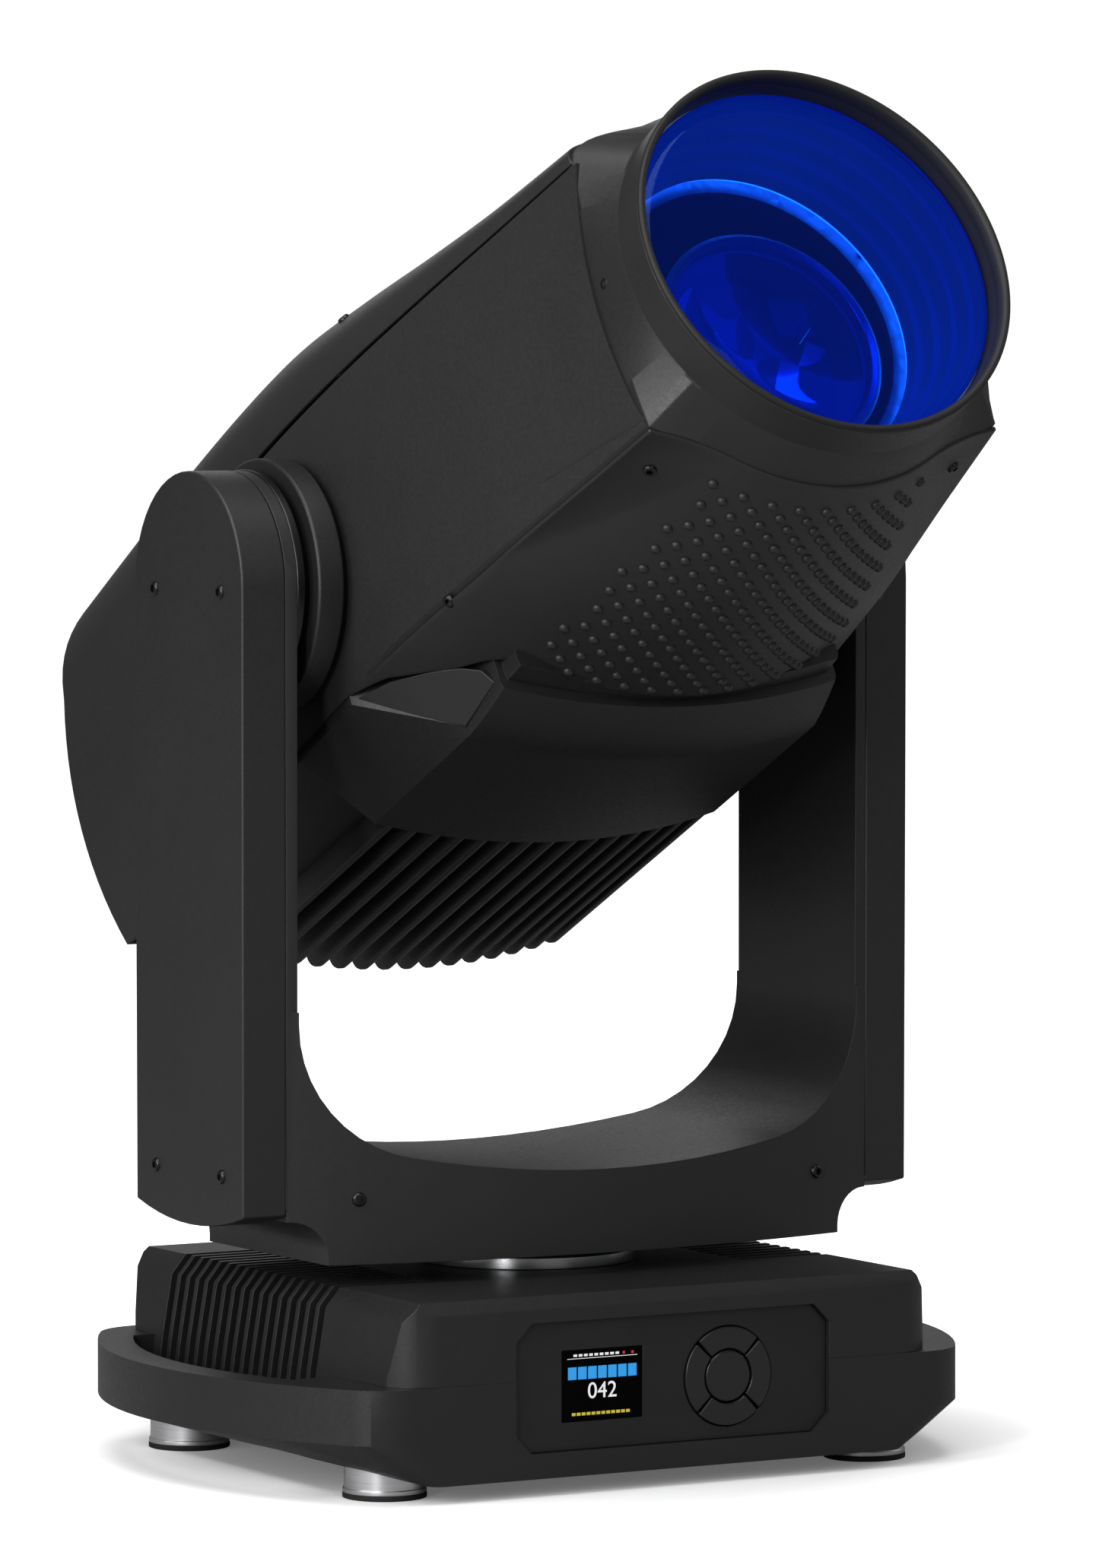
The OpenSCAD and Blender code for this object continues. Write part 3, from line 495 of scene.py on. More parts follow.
def scatterTree(name):
    # stands a unit shape on every point, turned to that point's facing
    tree = bpy.data.node_groups.new(name, "GeometryNodeTree")
    face = tree.interface
    face.new_socket("Geometry", in_out="OUTPUT", socket_type="NodeSocketGeometry")
    face.new_socket("Geometry", in_out="INPUT", socket_type="NodeSocketGeometry")
    face.new_socket("Unit Shape", in_out="INPUT", socket_type="NodeSocketObject")
    face.new_socket("Finish", in_out="INPUT", socket_type="NodeSocketMaterial")
    start, end = node(tree, "NodeGroupInput"), node(tree, "NodeGroupOutput")
    info = node(tree, "GeometryNodeObjectInfo")
    facing = node(tree, "GeometryNodeInputNamedAttribute", data_type="FLOAT_VECTOR")
    facing.inputs["Name"].default_value = "facing"
    across = node(tree, "GeometryNodeInputNamedAttribute", data_type="FLOAT_VECTOR")
    across.inputs["Name"].default_value = "across"
    first = node(tree, "FunctionNodeAlignRotationToVector", axis="Z")
    second = node(tree, "FunctionNodeAlignRotationToVector", axis="X", pivot_axis="Z")
    stand = node(tree, "GeometryNodeInstanceOnPoints")
    whole = node(tree, "GeometryNodeRealizeInstances")
    paint = node(tree, "GeometryNodeSetMaterial")
    link = tree.links.new
    link(start.outputs["Unit Shape"], info.inputs["Object"])
    link(facing.outputs["Attribute"], first.inputs["Vector"])
    link(first.outputs["Rotation"], second.inputs["Rotation"])
    link(across.outputs["Attribute"], second.inputs["Vector"])
    link(start.outputs["Geometry"], stand.inputs["Points"])
    link(info.outputs["Geometry"], stand.inputs["Instance"])
    link(second.outputs["Rotation"], stand.inputs["Rotation"])
    link(stand.outputs["Instances"], whole.inputs["Geometry"])
    link(whole.outputs["Geometry"], paint.inputs["Geometry"])
    link(start.outputs["Finish"], paint.inputs["Material"])
    link(paint.outputs["Geometry"], end.inputs["Geometry"])
    return tree


def setInput(modifier, label, value):
    for item in modifier.node_group.interface.items_tree:
        if item.item_type == "SOCKET" and item.in_out == "INPUT" and item.name == label:
            modifier[item.identifier] = value


scatter = scatterTree("standOnPoints")


def scattered(name, spots, unit, paint, place=None):
    # one unit on every spot, each a (position, facing, across)
    mesh = bpy.data.meshes.new(name)
    mesh.from_pydata([Vector(p) * mm for p, f, a in spots], [], [])
    for label, index in (("facing", 1), ("across", 2)):
        layer = mesh.attributes.new(label, "FLOAT_VECTOR", "POINT")
        for k, spot in enumerate(spots):
            layer.data[k].vector = Vector(spot[index]).normalized()
    obj = bpy.data.objects.new(name, mesh)
    scene.collection.objects.link(obj)
    modifier = obj.modifiers.new("scatter", "NODES")
    modifier.node_group = scatter
    setInput(modifier, "Unit Shape", unit)
    setInput(modifier, "Finish", paint)
    fixedMesh(obj)
    for label in ("facing", "across"):
        if label in obj.data.attributes:
            obj.data.attributes.remove(obj.data.attributes[label])
    if place:
        obj.data.transform(place)
    obj.data.shade_smooth()
    obj.data.set_sharp_from_angle(angle=radians(38))
    bpy.data.objects.remove(unit)
    return obj


def unitScrew(radius, socket=0.52):
    # button head with a hexagon socket, standing on z = 0
    profile = [(radius * 0.96, -0.6), (radius, 0), (radius * 0.97, radius * 0.22), (radius * 0.82, radius * 0.42),
               (radius * 0.66, radius * 0.5)]
    steps = 24
    points, faces = lathe(profile, steps, close=False)
    hexagon = []
    for i in range(steps):
        a = 2 * pi * i / steps
        flat = cos(pi / 6) / cos((a % (pi / 3)) - pi / 6)
        hexagon.append((radius * socket * flat * cos(a), radius * socket * flat * sin(a)))
    base = len(points)
    points += [(x, y, radius * 0.48) for x, y in hexagon] + [(x, y, radius * 0.06) for x, y in hexagon]
    points += [(0, 0, radius * 0.06), (0, 0, -0.6)]
    last = len(profile)
    for i in range(steps):
        k = (i + 1) % steps
        faces.append((i * last + last - 1, k * last + last - 1, base + k, base + i))
        faces.append((base + i, base + k, base + steps + k, base + steps + i))
        faces.append((base + steps + i, base + steps + k, base + 2 * steps))
        faces.append((k * last, i * last, base + 2 * steps + 1))
    return meshObject("unitScrew", points, faces)


def unitDome(radius, height, steps=12, rings=4):
    profile = [(radius * cos(pi / 2 * i / rings), height * sin(pi / 2 * i / rings)) for i in range(rings)]
    profile = [(radius, -1.2)] + profile
    points, faces = lathe(profile, steps, close=False)
    top, bottom = len(points), len(points) + 1
    points += [(0, 0, height), (0, 0, -1.2)]
    last = len(profile)
    for i in range(steps):
        k = (i + 1) % steps
        faces.append((i * last + last - 1, k * last + last - 1, top))
        faces.append((k * last, i * last, bottom))
    return meshObject("unitDome", points, faces)


# ---- head ----

headShape = dict(
    stations=[(-296, 145, 158, 139, 213), (-100, 149, 160, 139, 223), (20, 147, 156, 139, 218),
              (100, 141, 141, 137.5, 207), (180, 130, 124, 132.7, 192), (240, 120, 114, 127.5, 154),
              (315, 108, 106, 116.7, 117)],
    seamHigh=78, seamLow=-82, bulge=4.5, split=-150, squareTop=2.5, wall=3.0, tail=295)


def between(s, column):
    # smooth curve through the stations
    rows = headShape["stations"]
    n = len(rows)
    s = max(rows[0][0], min(rows[-1][0] + 10, s))
    k = 0
    while k < n - 2 and s > rows[k + 1][0]:
        k += 1
    a, b = rows[k], rows[k + 1]
    def slope(i):
        if i == 0 or i == n - 1:
            j = min(i, n - 2)
            return (rows[j + 1][column] - rows[j][column]) / (rows[j + 1][0] - rows[j][0])
        return (rows[i + 1][column] - rows[i - 1][column]) / (rows[i + 1][0] - rows[i - 1][0])
    w = b[0] - a[0]
    t = (s - a[0]) / w
    m0, m1 = slope(k) * w, slope(k + 1) * w
    return ((2 * t**3 - 3 * t**2 + 1) * a[column] + (t**3 - 2 * t**2 + t) * m0
            + (-2 * t**3 + 3 * t**2) * b[column] + (t**3 - t**2) * m1)


def sideX(s, h):
    limit = headShape["seamHigh"] if h > 0 else headShape["seamLow"]
    return between(s, 1) + headShape["bulge"] * (1 - (h / limit) ** 2)


def topPoint(s, t):
    # t runs from 0 at the left seam over the top to 1 at the right seam
    w, high, low = between(s, 1), between(s, 2), headShape["seamHigh"]
    a = pi * t
    e = 2 / headShape["squareTop"]
    c = cos(a)
    return (-w * abs(c) ** e * (1 if c > 0 else -1), s, low + (high - low) * sin(a) ** e)


def smoothStep(x):
    x = max(0.0, min(1.0, x))
    return x * x * (3 - 2 * x)


def bellyPoint(s, t):
    # t runs from -1 at the left seam to 1 at the right: an arc, flaring out to a flat corner at the front
    w, depth, r = between(s, 1), between(s, 3), between(s, 4)
    low, x = headShape["seamLow"], abs(t) * w
    turn = w - max(2.0, 0.36 * (s - 180))
    if x <= turn:
        return (t * w, s, r - depth - sqrt(r * r - x * x))
    fall, span, u = sqrt(r * r - turn * turn), w - turn, x - turn
    h1, m0 = r - depth - fall, turn / fall
    flat = (low - h1) / span
    m1 = flat + (flat - m0) * (0.4 + 0.6 * smoothStep((s - 284) / 30))
    m0 = 2 * flat - m1
    return (t * w, s, h1 + m0 * u + (m1 - m0) * u * u / (2 * span))


def toHead(points):
    # (x, along the beam, up) to the head's own axes
    return [(x, -s, h) for x, s, h in points]


def sideFront(h):
    return 310 + 7 * ((h + 10) / 70) ** 2


def makeSideCover(name, cadNode, side):
    # lower rows carry the chamfer, and a fine groove that fades out rearwards
    groove = dict(start=(318, -74.5), end=(196, -59), depth=0.9, width=1.1)
    steps, points = 72, []
    low, high = headShape["seamLow"] + 0.3, headShape["seamHigh"] - 0.3
    rowCount = 0
    for i in range(steps + 1):
        v = i / steps
        column = []
        back = headShape["split"] + 0.4
        sMid = back + (sideFront(0) - back) * v
        (s0, h0), (s1, h1) = groove["start"], groove["end"]
        gh = h1 + (h0 - h1) * (sMid - s1) / (s0 - s1) if sMid > s1 else h1 + (s1 - sMid) * 0.03
        depth = groove["depth"] * smoothStep((sMid - s1 + 5) / 40)
        chamfer = 3.4 * smoothStep((sMid - 10) / 60)
        heights = [(low, chamfer), (low + 0.3 + chamfer * 0.95, 0.0), (gh - 1.6, 0.0), (gh - 0.5, depth),
                   (gh + 0.5, depth), (gh + 1.6, 0.0)]
        heights += [(gh + 4 + (high - gh - 4) * k / 14, 0.0) for k in range(15)]
        for h, inset in heights:
            s = back + (sideFront(h) - back) * v
            x = sideX(s, h) - inset
            column.append((side * x, s, h))
        rowCount = len(column)
        points += column
    obj = meshObject(name, toHead(points), gridFaces(steps + 1, rowCount), headPlace)
    flipOut(obj, Vector((side, 0, 0)))
    softened(obj, 0.0009, 40, 2, headShape["wall"] * mm)
    return settle(obj, "head", (cadNode,), "casting")


def flipOut(obj, outward):
    # an open sheet whose faces must look along outward
    total = Vector((0, 0, 0))
    for f in obj.data.polygons:
        total += f.normal * f.area
    if total.dot(outward) < 0:
        obj.data.flip_normals()


def makeTopCover():
    steps, across, points = 60, 56, []
    for i in range(steps + 1):
        for j in range(across + 1):
            t = 0.004 + 0.992 * j / across
            front = 318 - 16 * sin(pi * t)
            s = headShape["split"] + 0.4 + (front - headShape["split"] - 0.4) * i / steps
            x, s, h = topPoint(s, t)
            points.append((x, s, h + 0.5))
    obj = meshObject("topCover", toHead(points), gridFaces(steps + 1, across + 1), headPlace)
    flipOut(obj, headPlace.to_3x3() @ Vector((0, 0, 1)))
    softened(obj, 0.0009, 40, 2, headShape["wall"] * mm)
    return settle(obj, "head", ("top_cover",), "casting")


bellyShape = dict(back=121.0, front=317.0, cut=[(1.0, 24), (0.963, 53.6), (0.89, 76), (0.845, 87), (0.82, 95),
                                                (0.785, 107), (0.74, 116), (0.68, 121)])


def bellyEnds(t):
    # the rear edge is cut away along the wedge faces
    back, rows = bellyShape["back"], bellyShape["cut"]
    for (t0, s0), (t1, s1) in zip(rows, rows[1:]):
        if t1 <= abs(t) <= t0:
            back = s0 + (s1 - s0) * (t0 - abs(t)) / (t0 - t1)
    return back, bellyShape["front"]


def makeBelly():
    steps, points = 48, []
    ts = [-1 + 2 * j / 144 for j in range(145)]
    for i in range(steps + 1):
        for t in ts:
            back, front = bellyEnds(t)
            x, s, h = bellyPoint(back + (front - back) * i / steps, t)
            points.append((x, s, h - 0.4))
    obj = meshObject("bellyCover", toHead(points), gridFaces(steps + 1, len(ts)), headPlace)
    flipOut(obj, headPlace.to_3x3() @ Vector((0, 0, -1)))
    softened(obj, 0.001, 40, 2, 2.6 * mm)
    return settle(obj, "head", ("belly_cover",), "casting")


def makeWedges():
    # flat faces that close the belly's rear corners against the lower casting
    outline = [(-144.5, 24, -84.5), (-137.2, 53.6, -88.9), (-128.0, 76, -95.6), (-122.0, 87, -99.5),
               (-117.2, 95, -103), (-111.5, 105, -109.6), (-107.2, 108, -118.6), (-111.6, 74.5, -128.0)]
    push = Vector((0.907, -0.283, 0.31)) * 3.0
    for side, name in ((1, "bellyWedgeLeft"), (-1, "bellyWedgeRight")):
        front = [Vector(p) for p in outline]
        back = [p + push for p in front]
        n = len(front)
        points = [(side * p.x, p.y, p.z) for p in front + back]
        faces = [tuple(range(n)), tuple(range(2 * n - 1, n - 1, -1))]
        faces += [(i, n + i, n + (i + 1) % n, (i + 1) % n) for i in range(n)]
        obj = meshObject(name, toHead(points), faces, headPlace)
        softened(obj, 0.0007, 30, 2)
        settle(obj, "head", (), "casting")


bumpSet = dict(first=127.4, pitch=8.05, rows=22, radius=3.0, height=2.4)


def makeBumps():
    # a square lattice set cornerwise, narrowing towards the lens
    pitch, spots = bumpSet["pitch"], []
    for r in range(bumpSet["rows"]):
        s = bumpSet["first"] + r * pitch
        half = 94 - 1.42 * max(0, r - 2) - (0 if r > 1 else 8)
        for c in range(-12, 13):
            if (c + r) % 2 == 0:
                continue
            arc = c * pitch
            if abs(arc) > half:
                continue
            t = arc / between(s, 1)
            p = Vector(bellyPoint(s, t))
            da = Vector(bellyPoint(s, t + 0.01)) - p
            db = Vector(bellyPoint(s + 1, t)) - p
            up = da.cross(db).normalized()
            if up.z > 0:
                up = -up
            spots.append(((p.x, -p.y, p.z - 0.4), (up.x, -up.y, up.z), (1, 0, 0)))
    dome = unitDome(bumpSet["radius"], bumpSet["height"])
    obj = scattered("bellyBumps", spots, dome, finish["casting"], headPlace)
    return settle(obj, "head", (), "casting")


def makeRearCover():
    # sides and top run back to the sweep about the tilt axis, and that sweep closes the end
    low = headShape["seamLow"] + 1.2
    ring = []
    for k in range(15):
        ring.append(("side", -1, low + (headShape["seamHigh"] - low) * k / 14))
    for k in range(1, 40):
        ring.append(("top", 0, k / 40))
    for k in range(15):
        ring.append(("side", 1, headShape["seamHigh"] - (headShape["seamHigh"] - low) * k / 14))
    steps, points = 30, []
    start = headShape["split"] - 0.5
    for i in range(steps + 1):
        for kind, side, value in ring:
            h = value if kind == "side" else topPoint(-250, value)[2]
            end = -sqrt(headShape["tail"] ** 2 - h * h)
            s = start + (end - start) * i / steps
            if kind == "side":
                points.append((side * sideX(s, value), s, value))
            else:
                points.append(topPoint(s, value))
    n = len(ring)
    faces = gridFaces(steps + 1, n)
    base = steps * n
    half = n // 2
    rows = 16
    for k in range(half):
        left, right = points[base + k], points[base + n - 1 - k]
        first = len(points)
        for j in range(1, rows):
            points.append(tuple(left[c] + (right[c] - left[c]) * j / rows for c in range(3)))
    for k in range(half):
        def spot(row, j):
            if j == 0:
                return base + row
            if j == rows:
                return base + n - 1 - row
            if row == half:
                return base + half
            return (steps + 1) * n + row * (rows - 1) + j - 1
        for j in range(rows):
            quad = [spot(k, j), spot(k, j + 1), spot(k + 1, j + 1), spot(k + 1, j)]
            quad = [q for i, q in enumerate(quad) if q not in quad[:i]]
            if len(quad) > 2:
                faces.append(tuple(quad))
    obj = meshObject("rearCover", toHead(points), faces, headPlace)
    flipOut(obj, headPlace.to_3x3() @ Vector((0, 0, 1)))
    softened(obj, 0.0022, 40, 3, headShape["wall"] * mm, even=False)
    return settle(obj, "head", ("rear_cover",), "casting")


# rear block with the fins under the head; its underside rises towards the tail
blockShape = dict(radius=400, front=112, knee=74, deep=148, climb=0.059, finStart=-45, finEnd=-238, finDepth=15,
                  fins=15, pitch=14.3, thick=4.6)


def blockSection(s):
    # left half from the seam to the middle
    knee = blockShape["knee"]
    lift = (knee - s) * blockShape["climb"] if s < knee else 9.6 * ((s - knee) / 38) ** 1.25
    corner = 109.5 - (4.5 * (s - knee) / 38 if s > knee else 0)
    if s <= 24:
        seam = (-146, -87)
    else:
        k = min(1.0, (s - 24) / 50)
        seam = (-146 + 35.5 * k, -87 - 40.5 * k)
    if s > knee:
        k = (s - knee) / 38
        seam = (-110.5 + 4.2 * k, -127.5 + 6.5 * k)
    if s < blockShape["finStart"]:
        lift += blockShape["finDepth"]
        corner -= 2
    if s < -205:
        lift += 8 * (-205 - s) / 30
    r, mid = blockShape["radius"], lift - blockShape["deep"]
    a0 = asin(corner / r)
    arc = []
    for k in range(15):
        a = -a0 + a0 * k / 14
        arc.append((r * sin(a), mid + r - r * cos(a)))
    return [seam] + arc


def makeBlock():
    stations = [112, 111, 104, 96, 86, 74, 66, 49, 36, 24, 0, -30, -44.9, -45.1, -90, -140, -190]
    stations += [-205, -220, -235]
    points, count = [], 0

    def ringAt(s, sink=0.0):
        half = blockSection(s)
        full = half + [(-x, h) for x, h in reversed(half[:-1])]
        ring = full + [(-full[0][0], -80), (full[0][0], -80)]
        k = 1 - sink / 140
        return [(x * k, max(h, -80) if h > -81 else h * k) for x, h in ring]

    # a neck runs on under the belly, so that a groove stays between the two
    rings = [(127, ringAt(112, 6.5)), (112.2, ringAt(112, 5.5))] + [(s, ringAt(s)) for s in stations]
    for s, ring in rings:
        count = len(ring)
        points += [(x, s, h) for x, h in ring]
    faces = gridFaces(len(rings), count, loop=True)
    faces.append(tuple(range(count)))
    faces.append(tuple(len(points) - 1 - k for k in range(count)))
    obj = meshObject("rearBlock", toHead(points), faces, headPlace)
    softened(obj, 0.0016, 24, 3)
    return settle(obj, "head", ("rear_heatsink",), "heatsink")


def makeFins():
    # a row of fins whose lower edges follow the block's arc
    climb, knee = blockShape["climb"], blockShape["knee"]
    s0, s1, deep, r = blockShape["finStart"] + 4, blockShape["finEnd"], 24, 11

    def low(s):
        return (knee - s) * climb - blockShape["deep"]

    outline = [(s0, low(s0) + deep), (s0, low(s0) + 3), (s0 - 4, low(s0 - 4))]
    outline += [(s1 + r - r * sin(a), low(s1) + r - r * cos(a)) for a in (radians(15 * k) for k in range(0, 8))]
    outline += [(s1, low(s1) + deep)]
    half = blockShape["thick"] / 2
    n = len(outline)
    points = [(x, s, h) for x in (-half, half) for s, h in outline]
    faces = [(i, (i + 1) % n, n + (i + 1) % n, n + i) for i in range(n)]
    faces += [tuple(range(n)), tuple(range(2 * n - 1, n - 1, -1))]
    fin = meshObject("unitFin", toHead(points), faces)
    bevel = fin.modifiers.new("edge", "BEVEL")
    bevel.width = 0.0011
    bevel.segments = 2
    bevel.angle_limit = radians(50)
    fixedMesh(fin)
    spots = []
    for i in range(blockShape["fins"]):
        x = (i - (blockShape["fins"] - 1) / 2) * blockShape["pitch"]
        lift = blockShape["radius"] - sqrt(blockShape["radius"] ** 2 - x * x)
        spots.append(((x, 0, lift), (0, 0, 1), (1, 0, 0)))
    obj = scattered("headFins", spots, fin, finish["heatsink"], headPlace)
    obj.data.set_sharp_from_angle(angle=radians(35))
    return settle(obj, "head", (), "heatsink")


hoodShape = dict(radius=110.0, lip=366.0, bore=106.0)


def makeHood():
    r, lip, bore = hoodShape["radius"], hoodShape["lip"], hoodShape["bore"]
    profile = [(r, 284), (r, 330), (r, lip - 3.2), (r - 0.5, lip - 2.4), (bore + 0.6, lip - 2.4), (bore, lip - 3),
               (bore, 336), (bore - 3.5, 334), (bore - 3.5, 284)]
    points, faces = lathe(profile, 144)
    hood = meshObject("lensHood", points, faces, alongBeam(0))
    softened(hood, 0.0006, 30, 2)
    settle(hood, "head", ("front_bezel",), "casting")
    profile = [(r - 0.15, lip - 2.6), (r - 0.1, lip - 1.0), (r - 0.9, lip - 0.1), (r - 2.4, lip),
               (bore + 0.5, lip - 0.6), (bore - 0.6, lip - 2.0), (bore - 0.4, lip - 9), (bore + 1.0, lip - 9)]
    points, faces = lathe(profile, 144)
    rim = meshObject("hoodLip", points, faces, alongBeam(0))
    rim.data.shade_smooth()
    rim.data.set_sharp_from_angle(angle=radians(50))
    settle(rim, "head", (), "plug", lipBlack)


def hugging(s, inset, count):
    # the head's own section at s, sunk by inset, read off at equal angles
    outline = [(x, h) for x, _, h in (bellyPoint(s, -1 + k / 40) for k in range(81))]
    outline += [(sideX(s, h), h) for h in (-60, -30, 0, 30, 60)]
    outline += [(x, h) for x, _, h in (topPoint(s, 1 - k / 60) for k in range(61))]
    outline += [(-sideX(s, h), h) for h in (60, 30, 0, -30, -60)]
    ring = []
    for k in range(count):
        a = 2 * pi * k / count
        c, d = cos(a), sin(a)
        best = 0.0
        for (x0, h0), (x1, h1) in zip(outline, outline[1:] + outline[:1]):
            # where the ray from the axis crosses this side
            ex, eh = x1 - x0, h1 - h0
            under = c * eh - d * ex
            if abs(under) < 1e-9:
                continue
            reach, along = (x0 * eh - h0 * ex) / under, (x0 * d - h0 * c) / under
            if -1e-6 <= along <= 1 + 1e-6 and reach > best:
                best = reach
        ring.append(((best - inset) * c, (best - inset) * d))
    return ring


def circle(r, count):
    return [(r * cos(2 * pi * k / count), r * sin(2 * pi * k / count)) for k in range(count)]


def makeCollar():
    # runs from the covers' own outline to the round hood, then back inside it as a tube
    count = 128
    rings = [(286, hugging(286, 3.4, count)), (300, hugging(300, 4.2, count)),
             (317.4, hugging(314.9, 1.2, count)), (340, circle(110.4, count)), (344, circle(109.0, count)),
             (344, circle(104, count)), (286, circle(100, count))]
    points = [(x, s, h) for s, ring in rings for x, h in ring]
    faces = gridFaces(len(rings), count, loop=True)
    last = (len(rings) - 1) * count
    faces += [(last + k, last + (k + 1) % count, (k + 1) % count, k) for k in range(count)]
    obj = meshObject("frontCollar", toHead(points), faces, headPlace)
    softened(obj, 0.0008, 26, 2)
    return settle(obj, "head", (), "casting")


def domed(radius, base, edge, crown, rings):
    # profile of a lens: flat behind, then its edge, then a dome up to the crown
    dome = [(radius * cos(pi / 2 * k / rings), base + edge + (crown - edge) * sin(pi / 2 * k / rings))
            for k in range(rings)]
    return [(0.001, base), (radius, base)] + dome + [(0.001, base + crown)]


def makeLens():
    points, faces = lathe(domed(104.5, 346.0, 3, 13.0, 12), 96, close=False)
    glass = meshObject("frontLens", points, faces, alongBeam(0))
    glass.data.shade_smooth()
    glass.data.set_sharp_from_angle(angle=radians(40))
    settle(glass, "head", ("front_lens",), "lens_glass")


def makeBarrel():
    # stepped rings behind the front lens, in satin paint with a faint painted glow; the barrel's rear face lights
    # what is behind it
    steps = [(105.8, 345), (102.5, 345), (102.5, 339), (99, 338), (99, 326), (96, 325), (96, 312), (92.5, 311),
             (92.5, 299), (89, 298), (89, 287), (101, 287), (105.8, 300)]
    points, faces = lathe(steps, 96)
    tube = meshObject("lensBarrel", points, faces, alongBeam(0))
    softened(tube, 0.0006, 30, 2)
    settle(tube, "head", ("lens_ring",), "plug", barrelPaintedGlow)
    points, faces = lathe([(90, 285), (100, 285), (100, 286.6), (90, 286.6)], 64)
    ring = meshObject("barrelRearFace", points, faces, alongBeam(0))
    settle(ring, "head", (), "plug", rearGlow)


def makeInnerLens():
    # the second group: a glass in a bright retaining ring, clear of the focus carriage's travel
    place, start, radius = alongBeam(0, 6, -10), 275, 60
    section = [(radius, start), (radius + 6, start), (radius + 6, start + 11), (radius + 3, start + 13),
               (radius, start + 11)]
    points, faces = lathe(section, 72)
    group = meshObject("innerLensRing", points, faces, place)
    softened(group, 0.0005, 30, 2)
    settle(group, "head", (), "machined")
    points, faces = lathe(domed(radius - 0.2, start + 1, 3, 12, 10), 72, close=False)
    glass = meshObject("innerLens", points, faces, place)
    glass.data.shade_smooth()
    settle(glass, "head", (), "lens_glass", innerGlass)


def makeHeadScrews():
    # two on each side cover, one in each corner of the belly and two on the top
    spots = []
    for side in (-1, 1):
        spots.append(((side * 109.6, -320, 4.6), (side, -0.1, 0), (0, 1, 0)))
        x, s, h = bellyPoint(288, side * 0.84)
        spots.append(((x, -s, h - 0.5), (side * 0.36, -0.15, -0.93), (1, 0, 0)))
        spots.append(((side * (sideX(132, -80) - 1.2), -132, -81.5), (side * 0.86, -0.1, -0.5), (0, 1, 0)))
        p = topPoint(86, 0.5 + side * 0.315)
        spots.append(((p[0], -86, p[2] + 0.3), (side * 0.55, -0.1, 0.83), (0, 1, 0)))
    obj = scattered("headScrews", spots, unitScrew(3.7), finish["screw"], headPlace)
    return settle(obj, "head", ("head_screws",), "screw")


makeSideCover("sideCoverLeft", "side_cover_left", -1)
makeSideCover("sideCoverRight", "side_cover_right", 1)
makeTopCover()
makeBelly()
makeWedges()
makeBumps()
makeRearCover()
makeBlock()
makeFins()
makeHood()
makeCollar()
makeLens()
makeBarrel()
makeInnerLens()
makeHeadScrews()
recast("tiltHubs", "tilt_hubs", 0.0018, "head", "heatsink")
print("head made")

# ---- yoke ----

recast("yokeFrame", "yoke_frame", 0.0018, "yoke", "casting", 36)
recast("armCoverLeft", "arm_cover_left", 0.0026, "yoke", "casting", 40, 4)
recast("armCoverRight", "arm_cover_right", 0.0026, "yoke", "casting", 40, 4)
recast("panHub", "pan_hub", 0.0008, "yoke", "machined")
recast("tiltBearings", "tilt_bearings", 0.0008, "yoke", "screw")


def makeYokeScrews():
    outer = -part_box("arm_cover_left")[0].x / mm
    spots = []
    for side in (-1, 1):
        for z in (169.8, 488.3):
            for y in (-38.5, 38.5):
                spots.append(((side * (outer - 0.3), y, z), (side, 0, 0), (0, 0, 1)))
        for face in (-1, 1):
            spots.append(((side * 146.8, face * 73.4, 157.2), (side * 0.22, face, 0), (0, 0, 1)))
    obj = scattered("yokeScrews", spots, unitScrew(4.0), finish["screw"])
    return settle(obj, "yoke", ("yoke_screws",), "screw")


makeYokeScrews()
print("yoke made")

# ---- base ----

recast("baseTray", "base_tray", 0.0016, "base", "casting", 38, paint=baseShadedCoat)
recast("baseCover", "base_cover", 0.0009, "base", "casting", 34, 2, baseShadedCoat)
recast("controlPanel", "control_panel", 0.0006, "base", "panel", 34, 2)
recast("rearPanel", "rear_panel", 0.0006, "base", "panel", 34, 2)
recast("feet", "feet", 0.0009, "base", "foot_metal", 40, 2)
recast("footPads", "foot_pads", 0.0006, "base", "rubber", 40, 2)
recast("panBearing", "pan_bearing", 0.0007, "base", "bright_steel", 40, 2)
for which in ("up", "down", "left", "right", "enter"):
    recast("key" + which.capitalize(), "button_" + which, 0.0013, "key_" + which, "button", 40, 3)


def makeBaseScrews():
    spots = []
    for side in (-1, 1):
        spots.append(((side * 169.0, -155.2, 52.5), (side * 0.545, -0.84, 0), (0, 0, 1)))
        for y in (-145, 145):
            spots.append(((side * 120, y, 10.0), (0, 0, -1), (1, 0, 0)))
    obj = scattered("baseScrews", spots, unitScrew(4.4), finish["screw"])
    return settle(obj, "base", ("base_screws",), "screw")


screenText = dict(digits="042", size=0.0125)


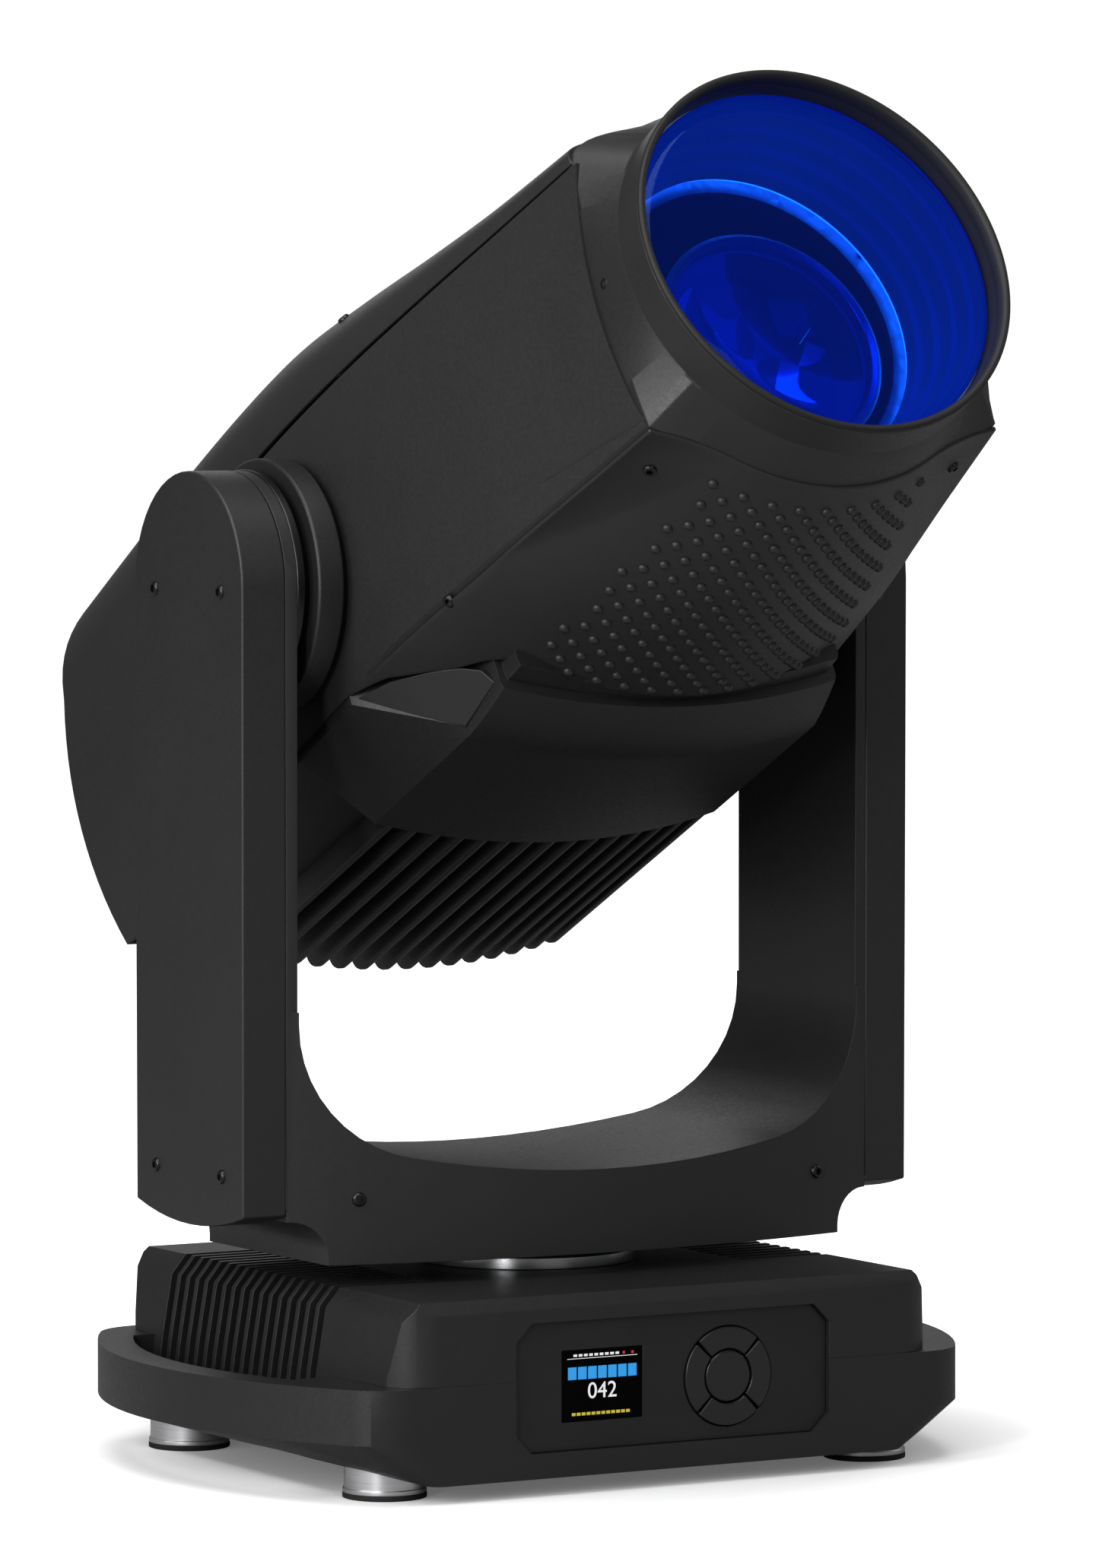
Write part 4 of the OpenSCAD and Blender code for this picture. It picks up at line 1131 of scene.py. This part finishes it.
def makeDisplayInk():
    # generic digits and blank bars on the glass
    low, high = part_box("display_window")
    face, midX, midZ = low.y - 0.0001, (low.x + high.x) / 2, (low.z + high.z) / 2
    curve = bpy.data.curves.new("digits", "FONT")
    curve.body = screenText["digits"]
    curve.size = screenText["size"]
    curve.extrude = 0.00008
    curve.align_x, curve.align_y = "CENTER", "CENTER"
    text = bpy.data.objects.new("displayDigits", curve)
    scene.collection.objects.link(text)
    bpy.context.view_layer.update()
    graph = bpy.context.evaluated_depsgraph_get()
    mesh = bpy.data.meshes.new_from_object(text.evaluated_get(graph))
    bpy.data.objects.remove(text)
    mesh.transform(Matrix.Translation((midX, face, midZ - 0.0035)) @ Matrix.Rotation(pi / 2, 4, "X"))
    digits = bpy.data.objects.new("displayDigits", mesh)
    scene.collection.objects.link(digits)
    settle(digits, "base", (), "screen", inkWhite)

    def bars(name, rows, paint):
        points, faces = [], []
        for x, z, w, h in rows:
            k = len(points)
            left, right, bottom, top = midX + x - w / 2, midX + x + w / 2, midZ + z - h / 2, midZ + z + h / 2
            for y in (face - 0.00008, face + 0.00008):
                points += [(left, y, bottom), (right, y, bottom), (right, y, top), (left, y, top)]
            faces += [(k, k + 1, k + 2, k + 3), (k + 7, k + 6, k + 5, k + 4)]
            faces += [(k + i, k + 4 + i, k + 4 + (i + 1) % 4, k + (i + 1) % 4) for i in range(4)]
        obj = meshObject(name, points, faces, scale=1.0)
        settle(obj, "base", (), "screen", paint)

    bars("displayHeading", [(-0.0189 + i * 0.0063, 0.0068, 0.0053, 0.0068) for i in range(7)], inkCyan)
    marks = [(-0.017 + i * 0.0033, 0.0165, 0.0022, 0.0013) for i in range(9)]
    bars("displayTopLine", [(0, 0.0148, 0.044, 0.0003)] + marks, inkWhite)
    bars("displayMarks", [(0.0135, 0.0165, 0.0014, 0.0014), (0.019, 0.0165, 0.0014, 0.0014)], inkRed)
    bars("displayFoot", [(-0.018 + i * 0.0031, -0.0155, 0.0023, 0.0016) for i in range(12)], inkYellow)


makeBaseScrews()
makeDisplayInk()
print("base made")

# ---- finishes for the parts that stay as they are ----

for entry in frame["record"]["subparts"]:
    part = frame["nodes"][entry["node"]]
    if part.hide_render:
        continue
    for holder in part.material_slots:
        holder.material = finish[entry["material_slot"]]
